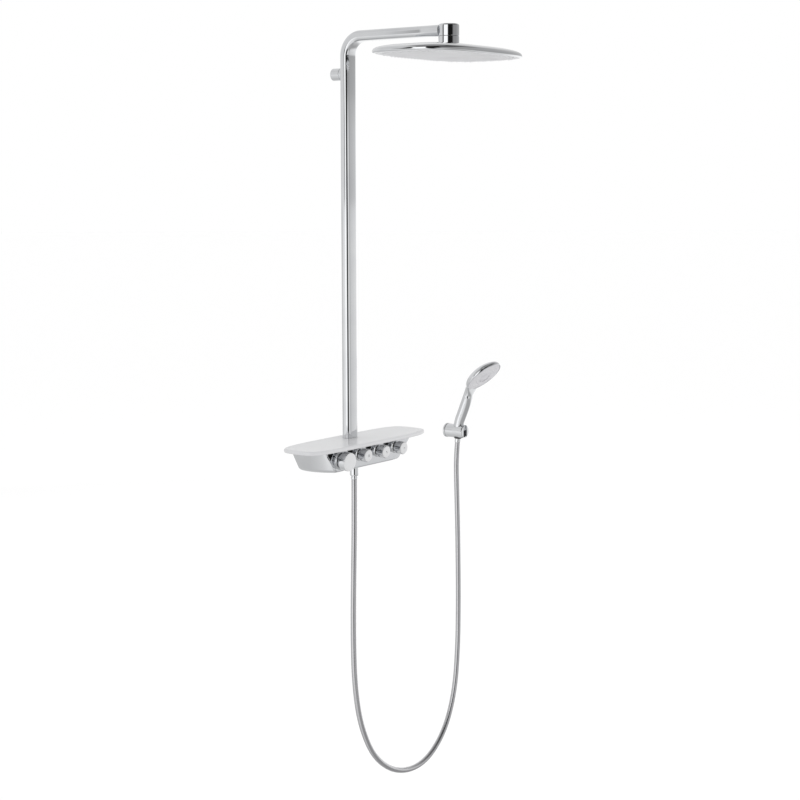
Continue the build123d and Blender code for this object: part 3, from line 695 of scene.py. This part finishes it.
def makeHousing(s):
    # plan lines stacked down to a rounded bottom edge, then drawn in to the middle of the back; a wall is added
    # inside
    low, high = boxOf("mixer_housing")
    low[2] -= s["sink"]
    height = high[2] - low[2]
    profile = roundedLine([(0, high[2]), (0, low[2], s["bottomEdge"]), (60, low[2])], steps=8, support=1.0)[:-1]
    top = np.linspace(high[2], profile[1, 1], s["rows"])[:, None]
    profile = np.concatenate([np.hstack([np.zeros_like(top), top]), profile[2:]])
    lines = [levelLoop(housingPlan(s, (high[2] - level) / height, low, high, amount), np.zeros(2), level)
             for amount, level in profile]
    base = lines[-1]
    heart = np.array([0, high[1], low[2]])
    lines += [heart + (base - heart) * share for share in (0.85, 0.6, 0.35, 0.1)]
    grid = np.array(lines)
    rows, cols = grid.shape[:2]
    quads = gridFaces(rows, cols, False, False)
    points = np.concatenate([grid.reshape(-1, 3), heart[None]])
    col = np.arange(cols - 1)
    tris = np.stack([np.full(cols - 1, rows * cols), (rows - 1) * cols + col + 1, (rows - 1) * cols + col], -1)
    shell = makeChrome("housing_shell", (points, quads, tris), "column", "mixer_housing")
    wall = shell.modifiers.new("wall", "SOLIDIFY")
    wall.thickness = s["wall"] * unit
    wall.offset = -1.0


panelSettings = dict(topHalf=155.6, bottomHalf=112.4, topCorner=1.2, bottomCorner=8.0, edge=0.9, thickness=3.0,
                     count=400)


def makePanel(s):
    # a trapezium with rounded corners on the sloping front, its edge eased back by a quarter circle
    low, high = boxOf("front_panel")
    onFace, outward = jointLine("temperature_turn")
    upward = np.cross((1.0, 0, 0), outward)
    upward = upward if upward[2] > 0 else -upward
    foot = onFace + upward * (low[2] - onFace[2]) / upward[2]
    foot[0] = 0
    tall = (high[2] - low[2]) / upward[2]
    corners = [(side * half, level, corner) for side, half, level, corner in (
        (1, s["topHalf"], tall, s["topCorner"]), (-1, s["topHalf"], tall, s["topCorner"]),
        (-1, s["bottomHalf"], 0, s["bottomCorner"]), (1, s["bottomHalf"], 0, s["bottomCorner"]))]
    outline = evenly(roundedLine(corners, True, 8, 1.0), s["count"])
    profile = roundedLine([(0, -s["thickness"] + 0.05), (0, 0, s["edge"]), (30.0, 0)], steps=5, support=0.5)[:-1]
    middle = np.array([0, tall / 2])
    plan = [(inset(outline, amount), depth) for amount, depth in profile]
    plan += [(middle + (plan[-1][0] - middle) * share, 0.0) for share in (0.9, 0.6, 0.3)]
    rings = [foot + loop[:, :1] * (1.0, 0, 0) + loop[:, 1:] * upward + depth * outward for loop, depth in plan]
    makePiece("mirror_front", stacked(rings), "mirror", "column", ["front_panel"])


makeTray(traySettings)
makeHousing(housingSettings)
makePanel(panelSettings)
print("shelf and housing done")


# Knobs: chrome collars on the panel, turned bodies, a plain white cap and buttons with small generic signs.

knobSettings = dict(
    temperature=dict(collar=21.5, waist=17.2, body=21.0, capRadius=20.4, capFrom=24.0, capTo=26.8),
    flow=dict(collar=15.5, waist=11.6, body=14.5, buttonRadius=13.2, buttonFrom=19.5, buttonTo=26.3, pocket=16.0),
    collarHeight=1.9,
    collarSlope=1.2,
    collarInner=3.0,
    buttonGap=0.3,
    flowBore=3.2,
    bodyFrom=3.4,
    waistTo=6.3,
    signLift=0.12,
    signDepth=0.5,
)


def makeCollars(s):
    # low cones turned about each knob's axis, all in one piece, on the panel's face
    shapes = []
    flows = [(f"flow_turn_{i}", s["flow"]) for i in (1, 2, 3)]
    for name, size in [("temperature_turn", s["temperature"]), *flows]:
        place, axis = jointLine(name)
        radius, waist = size["collar"], size["waist"]
        inner, top = waist - s["collarInner"], s["collarHeight"]
        ring = roundedLine([(inner, 0.05), (radius, 0.05), (radius, 0.25, 0.1),
                            (waist + s["collarSlope"], top, 0.7), (inner, top)], True, 5)
        shapes.append(turned(ring, place, axis, 112, True))
    makeChrome("panel_collars", joined(*shapes), "column", "knob_collars")


def makeTemperatureKnob(s):
    # a narrow waist that widens into a drum, and a low crowned cap, both turned about the joint's axis
    size = s["temperature"]
    place, axis = jointLine("temperature_turn")
    low, top = s["bodyFrom"], size["capFrom"]
    body = roundedLine([(0, low), (size["waist"], low, 0.6), (size["waist"], s["waistTo"], 1.4),
                        (size["body"], s["waistTo"] + 3.2, 2.4), (size["body"] - 0.25, top, 0.5), (0, top)],
                       steps=6)
    makeChrome("temperature_grip", turned(body, place, axis, 144), "temperature_knob", "temperature_knob")
    radius, face = size["capRadius"], size["capTo"]
    cap = roundedLine([(0, top), (radius, top, 0.3), (radius, face - 0.7, 1.1), (0.8 * radius, face - 0.15, 3.0),
                       (0, face)], steps=6)
    makePiece("temperature_disc", turned(cap, place, axis, 144), "capWhite", "temperature_knob",
              ["temperature_cap"])


def raised(outline, place, axis, height, s):
    # a thin flat figure that stands just proud of a knob's face: its outline at two heights with a closed top
    level, over = sidesOf(axis)
    over = over if over[2] > 0 else -over
    flat = outline[:, :1] * level + outline[:, 1:] * over
    heights = (height - s["signDepth"], height + s["signLift"] - 0.05, height + s["signLift"])
    scales = (1.0, 1.0, 0.96)
    middle = flat.mean(0)
    return stacked([place + middle + (flat - middle) * scale + axis * h for h, scale in zip(heights, scales)])


def signShapes(number, place, axis, height, s):
    # three plain signs: a fan of falling streams, a slanted handset, and a wide spray of dots
    def bar(x0, y0, x1, y1, half):
        along = np.array([x1 - x0, y1 - y0]) / math.hypot(x1 - x0, y1 - y0)
        side = np.array([-along[1], along[0]]) * half
        a, b = np.array([x0, y0]), np.array([x1, y1])
        rounded = [(*corner, 0.9 * half) for corner in (a - side, b - side, b + side, a + side)]
        return raised(roundedLine(rounded, True, 3, 0.02), place, axis, height, s)

    if number == 1:
        bars = [bar(-2.6, 2.2, 2.6, 2.2, 0.45)] + [bar(x, 1.0, x * 1.25, -2.6, 0.3) for x in (-1.8, 0.0, 1.8)]
    elif number == 2:
        bars = [bar(-1.6, -3.0, 0.8, 1.4, 0.5), bar(-0.4, 2.3, 2.6, 0.7, 0.75)]
    else:
        bars = [bar(-2.8, 1.0, 2.8, 1.0, 0.5)] + [bar(x, -1.2, x + 0.01, -1.9, 0.35) for x in (-2.0, 0.0, 2.0)]
    return joined(*bars)


def makeFlowKnob(s, number):
    # a hollow grip with a pocket in its face and a button in the pocket, turned about the joint's axis
    size = s["flow"]
    place, axis = jointLine(f"flow_turn_{number}")
    low, top = s["bodyFrom"], size["buttonTo"] - 2.1
    pocket, rim, bore = size["pocket"], size["buttonRadius"] + s["buttonGap"], s["flowBore"]
    ring = roundedLine([(bore, low + 5.0), (bore, low), (size["waist"], low, 0.5),
                        (size["waist"], s["waistTo"], 1.1), (size["body"], s["waistTo"] + 2.6, 1.8),
                        (size["body"], top, 0.45), (rim, top, 0.2),
                        (rim, pocket, 0.4), (bore, pocket)], True, 5, 0.2)
    body = f"flow_knob_{number}"
    makeChrome(f"flow_grip_{number}", turned(ring, place, axis, 112, True), body, body)
    radius, face = size["buttonRadius"], size["buttonTo"]
    button = roundedLine([(0, size["buttonFrom"]), (radius, size["buttonFrom"], 0.4), (radius, face - 0.7, 0.9),
                          (0.75 * radius, face - 0.12, 3.0), (0, face)], steps=5)
    presser = f"push_button_{number}"
    makePiece(f"button_disc_{number}", turned(button, place, axis, 112), "capWhite", presser, [presser])
    makePiece(f"button_sign_{number}", signShapes(number, place, axis, face, s), "print", presser)


makeCollars(knobSettings)
makeTemperatureKnob(knobSettings)
for knobNumber in (1, 2, 3):
    makeFlowKnob(knobSettings, knobNumber)
print("knobs done")


# Hose fittings: a knurled nut and a ferrule under the housing.

fittingSettings = dict(flutes=20, fluteDepth=0.45, edge=0.8, segments=160, ringRadius=12.6, ringDrop=1.7,
                       nutBore=7.6, ferruleBore=5.0, ferruleTop=-53.5, ringBore=10.3, ringRise=0.4, fluteInset=4.0)


def makeOutlet(s):
    # the nut is turned from its outline with shallow flutes: its radius dips by the flute depth round its waist
    low, high = boxOf("hose_nut_lower")
    axisPlace = ((low[0] + high[0]) / 2, (low[1] + high[1]) / 2, 0)
    radius, bottom, top, bore = (high[0] - low[0]) / 2, low[2], high[2], s["nutBore"]
    profile = roundedLine([(bore, bottom), (radius - 1.0, bottom, 0.6), (radius, bottom + 2.2, 0.7),
                           (radius, top - 1.0, s["edge"]), (bore, top), (bore, (top + bottom) / 2)], True, 5)
    points, quads, tris = turned(profile, axisPlace, (0, 0, 1), s["segments"], True)
    spoke = points[:, :2] - axisPlace[:2]
    reach = np.linalg.norm(spoke, axis=1)
    angle = np.arctan2(spoke[:, 1], spoke[:, 0])
    level, edge = points[:, 2], s["fluteInset"]
    waist = np.clip((level - bottom - edge) / 2.0, 0, 1) * np.clip((top - edge - level) / 2.0, 0, 1)
    dip = s["fluteDepth"] * np.clip(np.cos(angle * s["flutes"]), 0, 1) ** 2 * waist * (reach > radius - 0.5)
    points[:, :2] -= spoke * (dip / reach)[:, None]
    nut = makePiece("outlet_nut", (points, quads, tris), "chrome", "column", ["hose_nut_lower"],
                    crease=50)

    low, high = boxOf("hose_ferrule_lower")
    radius = (high[0] - low[0]) / 2
    bore, top = s["ferruleBore"], s["ferruleTop"]
    profile = roundedLine([(bore, low[2]), (radius - 0.6, low[2], 0.5), (radius - 0.2, low[2] + 4.0, 1.0),
                           (radius - 1.0, top), (bore, top)], True, 5)
    ferrule = makeChrome("outlet_ferrule", turned(profile, axisPlace, (0, 0, 1), 96, True), "column",
                         "hose_ferrule_lower")

    bottom, radius, bore = boxOf("mixer_housing")[0][2], s["ringRadius"], s["ringBore"]
    under, over = bottom - s["ringDrop"], bottom + s["ringRise"]
    profile = roundedLine([(bore, under), (radius, under, 0.9), (radius + 0.8, over), (bore, over)], True, 5)
    makeChrome("outlet_ring", turned(profile, axisPlace, (0, 0, 1), 96, True), "column")
    return nut, ferrule


outletNut, outletFerrule = makeOutlet(fittingSettings)


# Wall holder: a round flange and a level barrel with a leaning seat through it and a slot in its front.

holderSettings = dict(
    barrelRadius=17.0,
    barrelNeck=0.35,
    edge=2.6,
    slotHalf=7.0,
    seatRadius=13.0,
    seatTaper=0.0568,
    kneeFromWall=37.5,
    kneeAbove=5.0,
    seatFrom=-60.0,
    seatTo=30.0,
    flangeBore=14.0,
    cutMargin=5.0,
)


def seatLine():
    # the line that the hand shower lifts along, and the knee where its handle starts to lean
    low, high = boxOf("shower_holder")
    s = holderSettings
    knee = np.array([(low[0] + high[0]) / 2, -s["kneeFromWall"], high[2] + s["kneeAbove"]])
    return knee, jointLine("hand_shower_lift")[1]


def seatRadiusAt(t):
    # the seat is a cone along its line, t from the knee
    return holderSettings["seatRadius"] + holderSettings["seatTaper"] * t


def cutAway(piece, cutters, crease=38.0):
    # the cutters' solids are taken out of the piece by exact booleans, and its mesh becomes what is left
    holders = []
    for shape in cutters:
        cutter = addObject("cutter", makeMesh("cutter", shape))
        cut = piece.modifiers.new("cut", "BOOLEAN")
        cut.operation, cut.solver, cut.object = "DIFFERENCE", "EXACT", cutter
        holders.append(cutter)
    bpy.context.view_layer.update()
    mesh = bpy.data.meshes.new_from_object(piece.evaluated_get(bpy.context.evaluated_depsgraph_get()))
    piece.modifiers.clear()
    piece.data = mesh
    smoothOver(mesh, crease)
    for cutter in holders:
        bpy.data.objects.remove(cutter)


def makeHolder(s):
    # a flange and a barrel turned about a line square to the wall; a cone and an upright slot are cut away
    centre, radius, near, far = wallDisc("holder_flange")
    bore = s["flangeBore"]
    profile = roundedLine([(bore, near), (radius, near, 0.5), (radius, far - 0.4, 1.2), (radius - 2.0, far, 0.6),
                           (bore, far)], True, 5)
    makeChrome("holder_rosette", turned(profile, centre, (0, -1, 0), 120, True), "column", "holder_flange")

    knee, seat = seatLine()
    end = -boxOf("shower_holder")[0][1]
    barrel = roundedLine([(0, far + 0.15), (s["barrelRadius"], far + 0.15, 1.0),
                          (s["barrelRadius"] - s["barrelNeck"], 0.5 * end, 60.0),
                          (s["barrelRadius"], end, s["edge"]), (0, end)], steps=8)
    body = makeChrome("holder_barrel", turned(barrel, centre, (0, -1, 0), 144), "column", "shower_holder")
    start, finish = s["seatFrom"], s["seatTo"]
    seatCone = [(0, start), (seatRadiusAt(start), start), (seatRadiusAt(finish), finish), (0, finish)]
    half, top, front = s["slotHalf"], s["barrelRadius"] + s["cutMargin"], end + s["cutMargin"]
    plan = ((-half, -front), (half, -front), (half, knee[1]), (-half, knee[1]))
    slot = [[(centre[0] + x, y, centre[2] + z) for x, y in plan] for z in (-top, top)]
    cutAway(body, [turned(seatCone, knee, seat, 120), stacked(slot)])


makeHolder(holderSettings)

nutSettings = dict(gap=0.3, top=-20.1, neck=-37.5, bottom=-40.5, grooves=(0.30, 0.62), grooveDepth=0.35,
                   neckRadius=8.6, sleeveRadius=7.3, sleeveBottom=-50.0, bore=5.0)


def makeSeatNut(s):
    # the conical nut in the holder's seat, with two thin grooves and a rounded lower end, and a sleeve under it
    knee, seat = seatLine()
    top, neck, bottom, bore = s["top"], s["neck"], s["bottom"], s["bore"]
    line = [(bore, top), (seatRadiusAt(top) - s["gap"], top, 0.4)]
    for share in s["grooves"]:
        t = top + (neck - top) * share
        outer = seatRadiusAt(t) - s["gap"]
        inner = outer - s["grooveDepth"]
        line += [(outer, t + 0.5, 0.1), (inner, t + 0.25, 0.1), (inner, t - 0.25, 0.1), (outer, t - 0.5, 0.1)]
    line += [(seatRadiusAt(neck) - s["gap"], neck, 1.2), (s["neckRadius"], bottom, 0.8), (bore, bottom)]
    cone = makePiece("hose_cone", turned(roundedLine(line, True, 4, 0.2), knee, seat, 112, True), "darkPlastic",
                     "hand_shower", ["hose_nut_upper"])
    radius, top, bottom = s["sleeveRadius"], bottom + 1.0, s["sleeveBottom"]
    line = roundedLine([(bore, top), (radius, top, 0.3), (radius, bottom, 0.9), (bore, bottom)], True, 4, 0.2)
    sleeve = makeChrome("hose_sleeve", turned(line, knee, seat, 96, True), "hand_shower")
    return cone, sleeve


hoseCone, hoseSleeve = makeSeatNut(nutSettings)


# Wall screws: their shanks are in the wall, so only the pan heads with a cross recess are made.

screwSettings = dict(
    # node, how many, head radius, and where the head starts and ends out from the wall
    screws=(("bracket_screw", 1, 5.2, 5.0, 8.0), ("holder_screws", 2, 4.2, 5.0, 7.4),
            ("back_plate_screws", 2, 5.0, 1.9, 4.6)),
    recessHalf=0.6,
    recessReach=0.52,
    recessDepth=1.3,
)


def makeScrewHeads(s):
    # each head is turned from a low dome, and two crossed bars are cut out of it
    for node, count, radius, near, far in s["screws"]:
        low, high = boxOf(node)
        middle = (low + high) / 2
        spread = (high[0] - low[0]) / 2 - radius if count > 1 else 0.0
        for number, x in enumerate(np.linspace(middle[0] - spread, middle[0] + spread, count), start=1):
            place = np.array([x, 0, middle[2]])
            dome = roundedLine([(0, near), (radius, near, 0.2), (radius - 0.4, far - 0.9, 0.8), (0, far)], steps=5)
            head = makePiece(f"{node}_head_{number}", turned(dome, place, (0, -1, 0), 48), "steel", "column",
                             [node] if number == 1 else ())
            thin, long = s["recessHalf"], s["recessReach"] * radius
            square = ((-1, -1), (1, -1), (1, 1), (-1, 1))
            bars = [stacked([[(x + a * wide, -depth, middle[2] + b * tall) for a, b in square]
                             for depth in (far - s["recessDepth"], far + 1.0)])
                    for wide, tall in ((thin, long), (long, thin))]
            cutAway(head, bars, 30.0)


makeScrewHeads(screwSettings)
print("holder, screws and hose fittings done")


# Hand shower: one shell from the cone up the handle and over the domed back of the head.

handSettings = dict(
    headRadius=49.0,
    mergeWidth=14.6,
    mergePower=4.0,
    frontLevel=-2.9,
    spineLevel=-5.0,
    handleLean=22.6,
    dome=((0.0, 24.0), (14.0, 23.4), (28.0, 20.8), (39.0, 16.8), (46.0, 12.0), (49.0, 7.6)),
    # handle stations: distance from the knee, half width, front depth, back depth
    handle=((8.0, 12.75, 12.75, 12.75), (22.0, 12.8, 12.8, 12.8), (40.0, 13.0, 12.9, 13.0),
            (56.0, 13.15, 12.3, 13.1), (70.0, 13.4, 10.6, 13.2), (81.0, 13.9, 8.2, 13.3)),
    # head stations: the turn round the face circle from its middle, in degrees
    turns=(-63, -52, -40, -26, -12, 4, 20, 36, 50, 62, 72, 80, 86, 89.2),
    neckBack=13.4,
    neckBelow=-30.0,
    seatStations=(-20.0, -12.0, -5.0),
    around=72,
    rows=190,
)


def faceAxes():
    # the head's face: its centre, outward normal, and the direction up along it
    centre, normal = jointLine("selector_turn")
    return centre, normal, np.array([0.0, normal[2], -normal[1]])


def makeHandBody(s):
    # closed sections along a bent spine. Each is two half superellipses, one in front and one behind the spine:
    # (half width * cos ** (2 / n), depth * sin ** (2 / n)). Over the head the half width is the face's chord.
    knee, seat = seatLine()
    lean = math.radians(s["handleLean"])
    along, front = np.array([0, -math.sin(lean), math.cos(lean)]), np.array([0, -math.cos(lean), -math.sin(lean)])
    seatFront = np.array([0, -seat[2], seat[1]])
    centre, normal, upFace = faceAxes()
    rows = [[*(knee + seat * t), *seatFront, *[seatRadiusAt(t) - nutSettings["gap"]] * 3, 2, 2]
            for t in s["seatStations"]]
    for distance, width, fore, back in s["handle"]:
        rows.append([*(knee + along * distance), *front, width, fore, back, 2, 2])
    headRadius, depthAt = s["headRadius"], np.array(s["dome"])
    for turn in np.radians(s["turns"]):
        u = headRadius * math.sin(turn)
        chord = headRadius * math.cos(turn)
        merge = s["mergePower"]
        width = chord if u > 0 else (chord**merge + s["mergeWidth"] ** merge) ** (1 / merge)
        back = np.interp(abs(u), depthAt[:, 0], depthAt[:, 1]) + s["spineLevel"]
        back = max(back, s["neckBack"]) if u < s["neckBelow"] else back
        rows.append([*(centre + upFace * u + normal * s["spineLevel"]), *normal, width,
                     s["frontLevel"] - s["spineLevel"], back, 5, 2.1])
    rows = smoothRows(rows, s["rows"])
    place, facing = rows[:, :3], rows[:, 3:6] / np.linalg.norm(rows[:, 3:6], axis=1)[:, None]
    angle = np.linspace(0, 2 * math.pi, s["around"], endpoint=False)
    sine, cosine = np.sin(angle)[None], np.cos(angle)[None]
    width, fore, back, foreN, backN = (rows[:, k, None] for k in range(6, 11))
    power = np.where(sine >= 0, foreN, backN)
    depth = np.where(sine >= 0, fore, back)
    x = width * np.sign(cosine) * np.abs(cosine) ** (2 / power)
    y = depth * np.sign(sine) * np.abs(sine) ** (2 / power)
    rings = place[:, None] + x[..., None] * (1.0, 0, 0) + y[..., None] * facing[:, None]
    makePiece("hand_shell", stacked(rings), "chrome", "hand_shower", ["hand_shower_body"], crease=60)


sprayDiscSettings = dict(
    rim=((46.4, -3.2), (46.4, -1.4), (47.3, -0.55), (48.3, -0.75), (49.1, -1.9), (49.5, -3.6), (49.4, -5.2),
         (48.8, -6.6), (47.8, -7.2), (46.6, -6.0)),
    faceHollow=((46.2, -3.4), (46.2, -1.7), (45.4, -0.95), (44.0, -0.75), (34.0, -0.15), (24.0, 0.1), (18.5, 0.1),
                (17.9, -0.25), (16.6, -0.25), (16.0, 0.1), (13.5, 0.1)),
    nozzleRings=((22.0, 24), (27.5, 30), (33.0, 36), (38.5, 42)),
    nozzleLevels=((13.5, 24, 34, 44), (0.1, 0.1, -0.15, -0.75)),
    nozzle=((1.35, -0.4), (1.25, 0.25), (0.8, 0.75), (0.35, 0.95)),
    selector=((0.0, -3.0), (13.1, -3.0), (13.1, 0.5), (12.4, 1.15), (10.6, 1.3), (10.2, 0.85), (8.8, 0.85),
              (8.4, 1.35), (4.0, 1.6), (0.0, 1.7)),
    dotRadius=1.5,
    dots=((16.5, 8.0), (14.8, -98.0)),
    # radius and angles of the dark arc, which is painted shade along the selector ring's edge
    shadeArcRadius=21.5,
    shadeArcAngles=(-62.0, -14.0),
)


def makeSprayFace(s):
    # rim, face and dial are lines turned about the face's normal; nozzles stand in rings, the dial's marks
    # are two dots, and a dark arc of round section is painted shade along the selector ring's edge
    centre, normal, over = faceAxes()
    level = np.array([1.0, 0, 0])
    rim = smoothRows([*s["rim"], s["rim"][0]], 60)[:-1]
    makeChrome("hand_rim", turned(rim, centre, normal, 160, True), "hand_shower")
    line = [(0.0, s["faceHollow"][0][1]), *s["faceHollow"], (6.0, 0.1), (0.0, 0.1)]
    makePiece("hand_spray_disc", turned(line, centre, normal, 160), "sprayWhite", "hand_shower",
              ["handset_spray_face"], crease=30)
    places = []
    for radius, count in s["nozzleRings"]:
        angle = np.linspace(0, 2 * math.pi, count, endpoint=False) + 0.1 * radius
        lift = np.full(count, np.interp(radius, *s["nozzleLevels"]))
        places.append(np.stack([radius * np.cos(angle), radius * np.sin(angle), lift], -1))
    places = np.concatenate(places)
    places = centre + places[:, :1] * level + places[:, 1:2] * over + places[:, 2:] * normal
    round8 = np.linspace(0, 2 * math.pi, 8, endpoint=False)
    tip = [[r * math.cos(a) * level + r * math.sin(a) * over + h * normal for a in round8] for r, h in s["nozzle"]]
    makePiece("hand_nozzles", repeated(stacked(tip), places), "silicone", "hand_shower", (), crease=60)
    makePiece("selector_dial", turned(s["selector"], centre, normal, 128), "sprayWhite", "spray_selector",
              ["spray_selector"], crease=30)
    line = roundedLine([(0, -0.3), (s["dotRadius"], -0.3), (s["dotRadius"], 0.55, 0.3), (0, 0.6)], steps=3)
    dots = []
    for reach, turn in s["dots"]:
        place = centre + reach * (math.cos(math.radians(turn)) * level + math.sin(math.radians(turn)) * over)
        dots.append(turned(line, place, normal, 24))
    makePiece("dial_dots", joined(*dots), "print", "hand_shower")
    # the dark arc is painted shade along the selector ring's edge, not a printed mark
    points = np.radians(np.linspace(*s["shadeArcAngles"], 40))
    ring = np.array([(s["shadeArcRadius"] + 0.9 * math.cos(a), 0.1 + 0.5 * math.sin(a))
                     for a in np.linspace(0, 2 * math.pi, 9)[:-1]])
    spoke = np.cos(points)[:, None] * level + np.sin(points)[:, None] * over
    arc = centre + ring[None, :, :1] * spoke[:, None] + ring[None, :, 1:] * normal
    makePiece("painted_shade_arc", stacked(arc), "print", "hand_shower")


makeHandBody(handSettings)
makeSprayFace(sprayDiscSettings)
print("hand shower done")


# Studio: a white room, two soft lights, and a tent that only reflections see. Its bright and dark bands give the
# chrome its contrast; they are brightest left of the way to the camera and darkest just right of it.

studioSettings = dict(
    floorLevel=-1.30,
    floorHalf=70.0,
    floorGrey=1.0,
    surround=1.0,
    tentRadius=7.0,
    tentGrid=(24, 48),
    # the tent's light round the object: heading in degrees from the way to the camera, to its right, and level.
    # Each layer takes over between two heights, given as sines of the elevation.
    tentLayers=(
        (None, None, ((-180, 1.02), (-148, 0.63), (-110, 0.78), (-92, 0.62), (-84, 0.72), (-74, 0.92), (-66, 1.10),
                      (-45, 1.28), (-21, 1.28), (-10, 0.95), (-1, 0.06), (12, 0.002), (22, 0.03), (29, 0.50),
                      (36, 0.90), (48, 0.90), (60, 0.68), (73, 0.55), (88, 0.56), (104, 0.78), (124, 1.05),
                      (157, 1.15),
                      (180, 1.02))),
        (0.055, 0.072, ((-180, 1.02), (-148, 0.63), (-110, 0.80), (-94, 0.80), (-80, 0.85), (-69, 0.75),
                        (-64, 0.03), (-52, 0.03), (-46, 1.28), (-14, 1.28), (-6, 0.20), (2, 0.01), (20, 0.01),
                        (28, 0.45), (36, 0.90), (48, 0.90), (60, 0.65), (73, 0.45), (88, 0.44), (104, 0.62),
                        (124, 0.90), (157, 1.10),
                        (180, 1.02))),
        (0.12, 0.20, ((-180, 0.85), (-112, 0.80), (-73, 0.75), (-69, 0.01), (-59, 0.01), (-54, 1.28), (-14, 1.28),
                      (-8, 0.01), (38, 0.01), (50, 0.30), (80, 0.32), (110, 0.42), (150, 0.60), (180, 0.85))),
        (0.60, 0.68, ((-180, 0.80), (-90, 0.70), (-66, 0.60), (-58, 0.03), (100, 0.03), (125, 0.15), (150, 0.50),
                      (180, 0.80))),
        (0.86, 0.90, ((-180, 0.30), (180, 0.30))),
        (-0.30, -0.52, ((-180, 0.62), (-110, 0.62), (-60, 0.90), (-8, 0.90), (20, 0.45), (130, 0.42), (160, 0.60),
                        (180, 0.62))),
    ),
    # soft lights: name, place, aim, size, watts
    lights=(
        ("light_key", (-2.6, -3.4, 3.0), (0.1, -0.1, 0.2), 2.2, 8.0),
        ("light_top", (0.4, -0.8, 3.4), (0.1, -0.2, 0.2), 2.6, 3.0),
    ),
)


def makeFloor(level, half, grey):
    # one large square of a plain matt material
    mesh = bpy.data.meshes.new("floor")
    mesh.from_pydata([(-half, -half, level), (half, -half, level), (half, half, level), (-half, half, level)], [],
                     [(0, 1, 2, 3)])
    material = bpy.data.materials.new("floorMatt")
    material.use_nodes = True
    shader = material.node_tree.nodes["Principled BSDF"]
    shader.inputs["Base Color"].default_value = (grey, grey, grey, 1.0)
    shader.inputs["Roughness"].default_value = 0.9
    mesh.materials.append(material)
    floor = addObject("floor", mesh)
    floor.visible_glossy = False


def makeTent(s, turn):
    # a sphere whose glow is a ramp of the heading from the way to the camera, in layers that give way to each
    # other by a smooth step of the height
    rows, cols = s["tentGrid"]
    angle = np.linspace(0, 2 * math.pi, cols, endpoint=False)
    rise = np.linspace(-math.pi / 2, math.pi / 2, rows + 2)[1:-1, None]
    rings = s["tentRadius"] / unit * np.stack([np.cos(rise) * np.cos(angle), np.cos(rise) * np.sin(angle),
                                               np.broadcast_to(np.sin(rise), (rows, cols))], -1)
    mesh = makeMesh("tent", stacked(rings))
    material = bpy.data.materials.new("tentGlow")
    material.use_nodes = True
    tree = material.node_tree
    tree.nodes.clear()
    add, join = tree.nodes.new, tree.links.new
    place = add("ShaderNodeVectorMath")
    place.operation = "NORMALIZE"
    join(add("ShaderNodeTexCoord").outputs["Object"], place.inputs[0])
    facing = add("ShaderNodeMapping")
    facing.inputs["Rotation"].default_value = (0, 0, math.radians(turn))
    join(place.outputs[0], facing.inputs["Vector"])
    split = add("ShaderNodeSeparateXYZ")
    join(facing.outputs[0], split.inputs[0])
    heading = add("ShaderNodeMath")
    heading.operation = "ARCTAN2"
    join(split.outputs["Y"], heading.inputs[0])
    join(split.outputs["X"], heading.inputs[1])
    share = add("ShaderNodeMapRange")
    share.inputs["From Min"].default_value = -math.pi
    share.inputs["From Max"].default_value = math.pi
    join(heading.outputs[0], share.inputs["Value"])
    colour = None
    for start, finish, bands in s["tentLayers"]:
        ramp = add("ShaderNodeValToRGB")
        stops = ramp.color_ramp.elements
        for degrees, level in bands[1:-1]:
            stops.new((degrees + 180) / 360).color = (level, level, level, 1.0)
        for stop, (degrees, level) in zip((stops[0], stops[-1]), (bands[0], bands[-1])):
            stop.color = (level, level, level, 1.0)
        join(share.outputs["Result"], ramp.inputs["Fac"])
        if colour is None:
            colour = ramp.outputs["Color"]
            continue
        reach = add("ShaderNodeMapRange")
        reach.interpolation_type = "SMOOTHSTEP"
        reach.inputs["From Min"].default_value = start
        reach.inputs["From Max"].default_value = finish
        join(split.outputs["Z"], reach.inputs["Value"])
        mix = add("ShaderNodeMix")
        mix.data_type = "RGBA"
        join(reach.outputs["Result"], mix.inputs["Factor"])
        join(colour, mix.inputs["A"])
        join(ramp.outputs["Color"], mix.inputs["B"])
        colour = mix.outputs["Result"]
    glow = add("ShaderNodeEmission")
    join(colour, glow.inputs["Color"])
    join(glow.outputs[0], add("ShaderNodeOutputMaterial").inputs["Surface"])
    mesh.materials.append(material)
    tent = addObject("tent", mesh)
    tent.visible_camera = tent.visible_diffuse = tent.visible_shadow = tent.visible_transmission = False


def makeLights(lights):
    # round soft lamps, each turned so that it faces its aim
    for name, place, aim, size, watts in lights:
        data = bpy.data.lights.new(name, "AREA")
        data.shape, data.size, data.energy = "DISK", size, watts
        light = addObject(name, data)
        away = np.array(place, float) - np.array(aim, float)
        away /= np.linalg.norm(away)
        across = np.cross((0, 0, 1.0), away)
        across /= np.linalg.norm(across)
        light.matrix_world = placeMatrix(across, np.cross(away, across), away, place)
        light.visible_glossy = False


def makeStudio(s, turn):
    # a plain bright world round the floor, the tent and the lights
    world = bpy.data.worlds.new("studio")
    bpy.context.scene.world = world
    world.use_nodes = True
    backdrop = world.node_tree.nodes["Background"]
    backdrop.inputs["Color"].default_value = (1.0, 1.0, 1.0, 1.0)
    backdrop.inputs["Strength"].default_value = s["surround"]
    makeFloor(s["floorLevel"], s["floorHalf"], s["floorGrey"])
    makeTent(s, turn)
    makeLights(s["lights"])
    bpy.context.scene.view_settings.view_transform = "Standard"


# the tent is turned by the camera's heading and a right angle, so that its headings start at the way to the camera
makeStudio(studioSettings, cameraSettings["turn"] + 90.0)
print("studio ready")
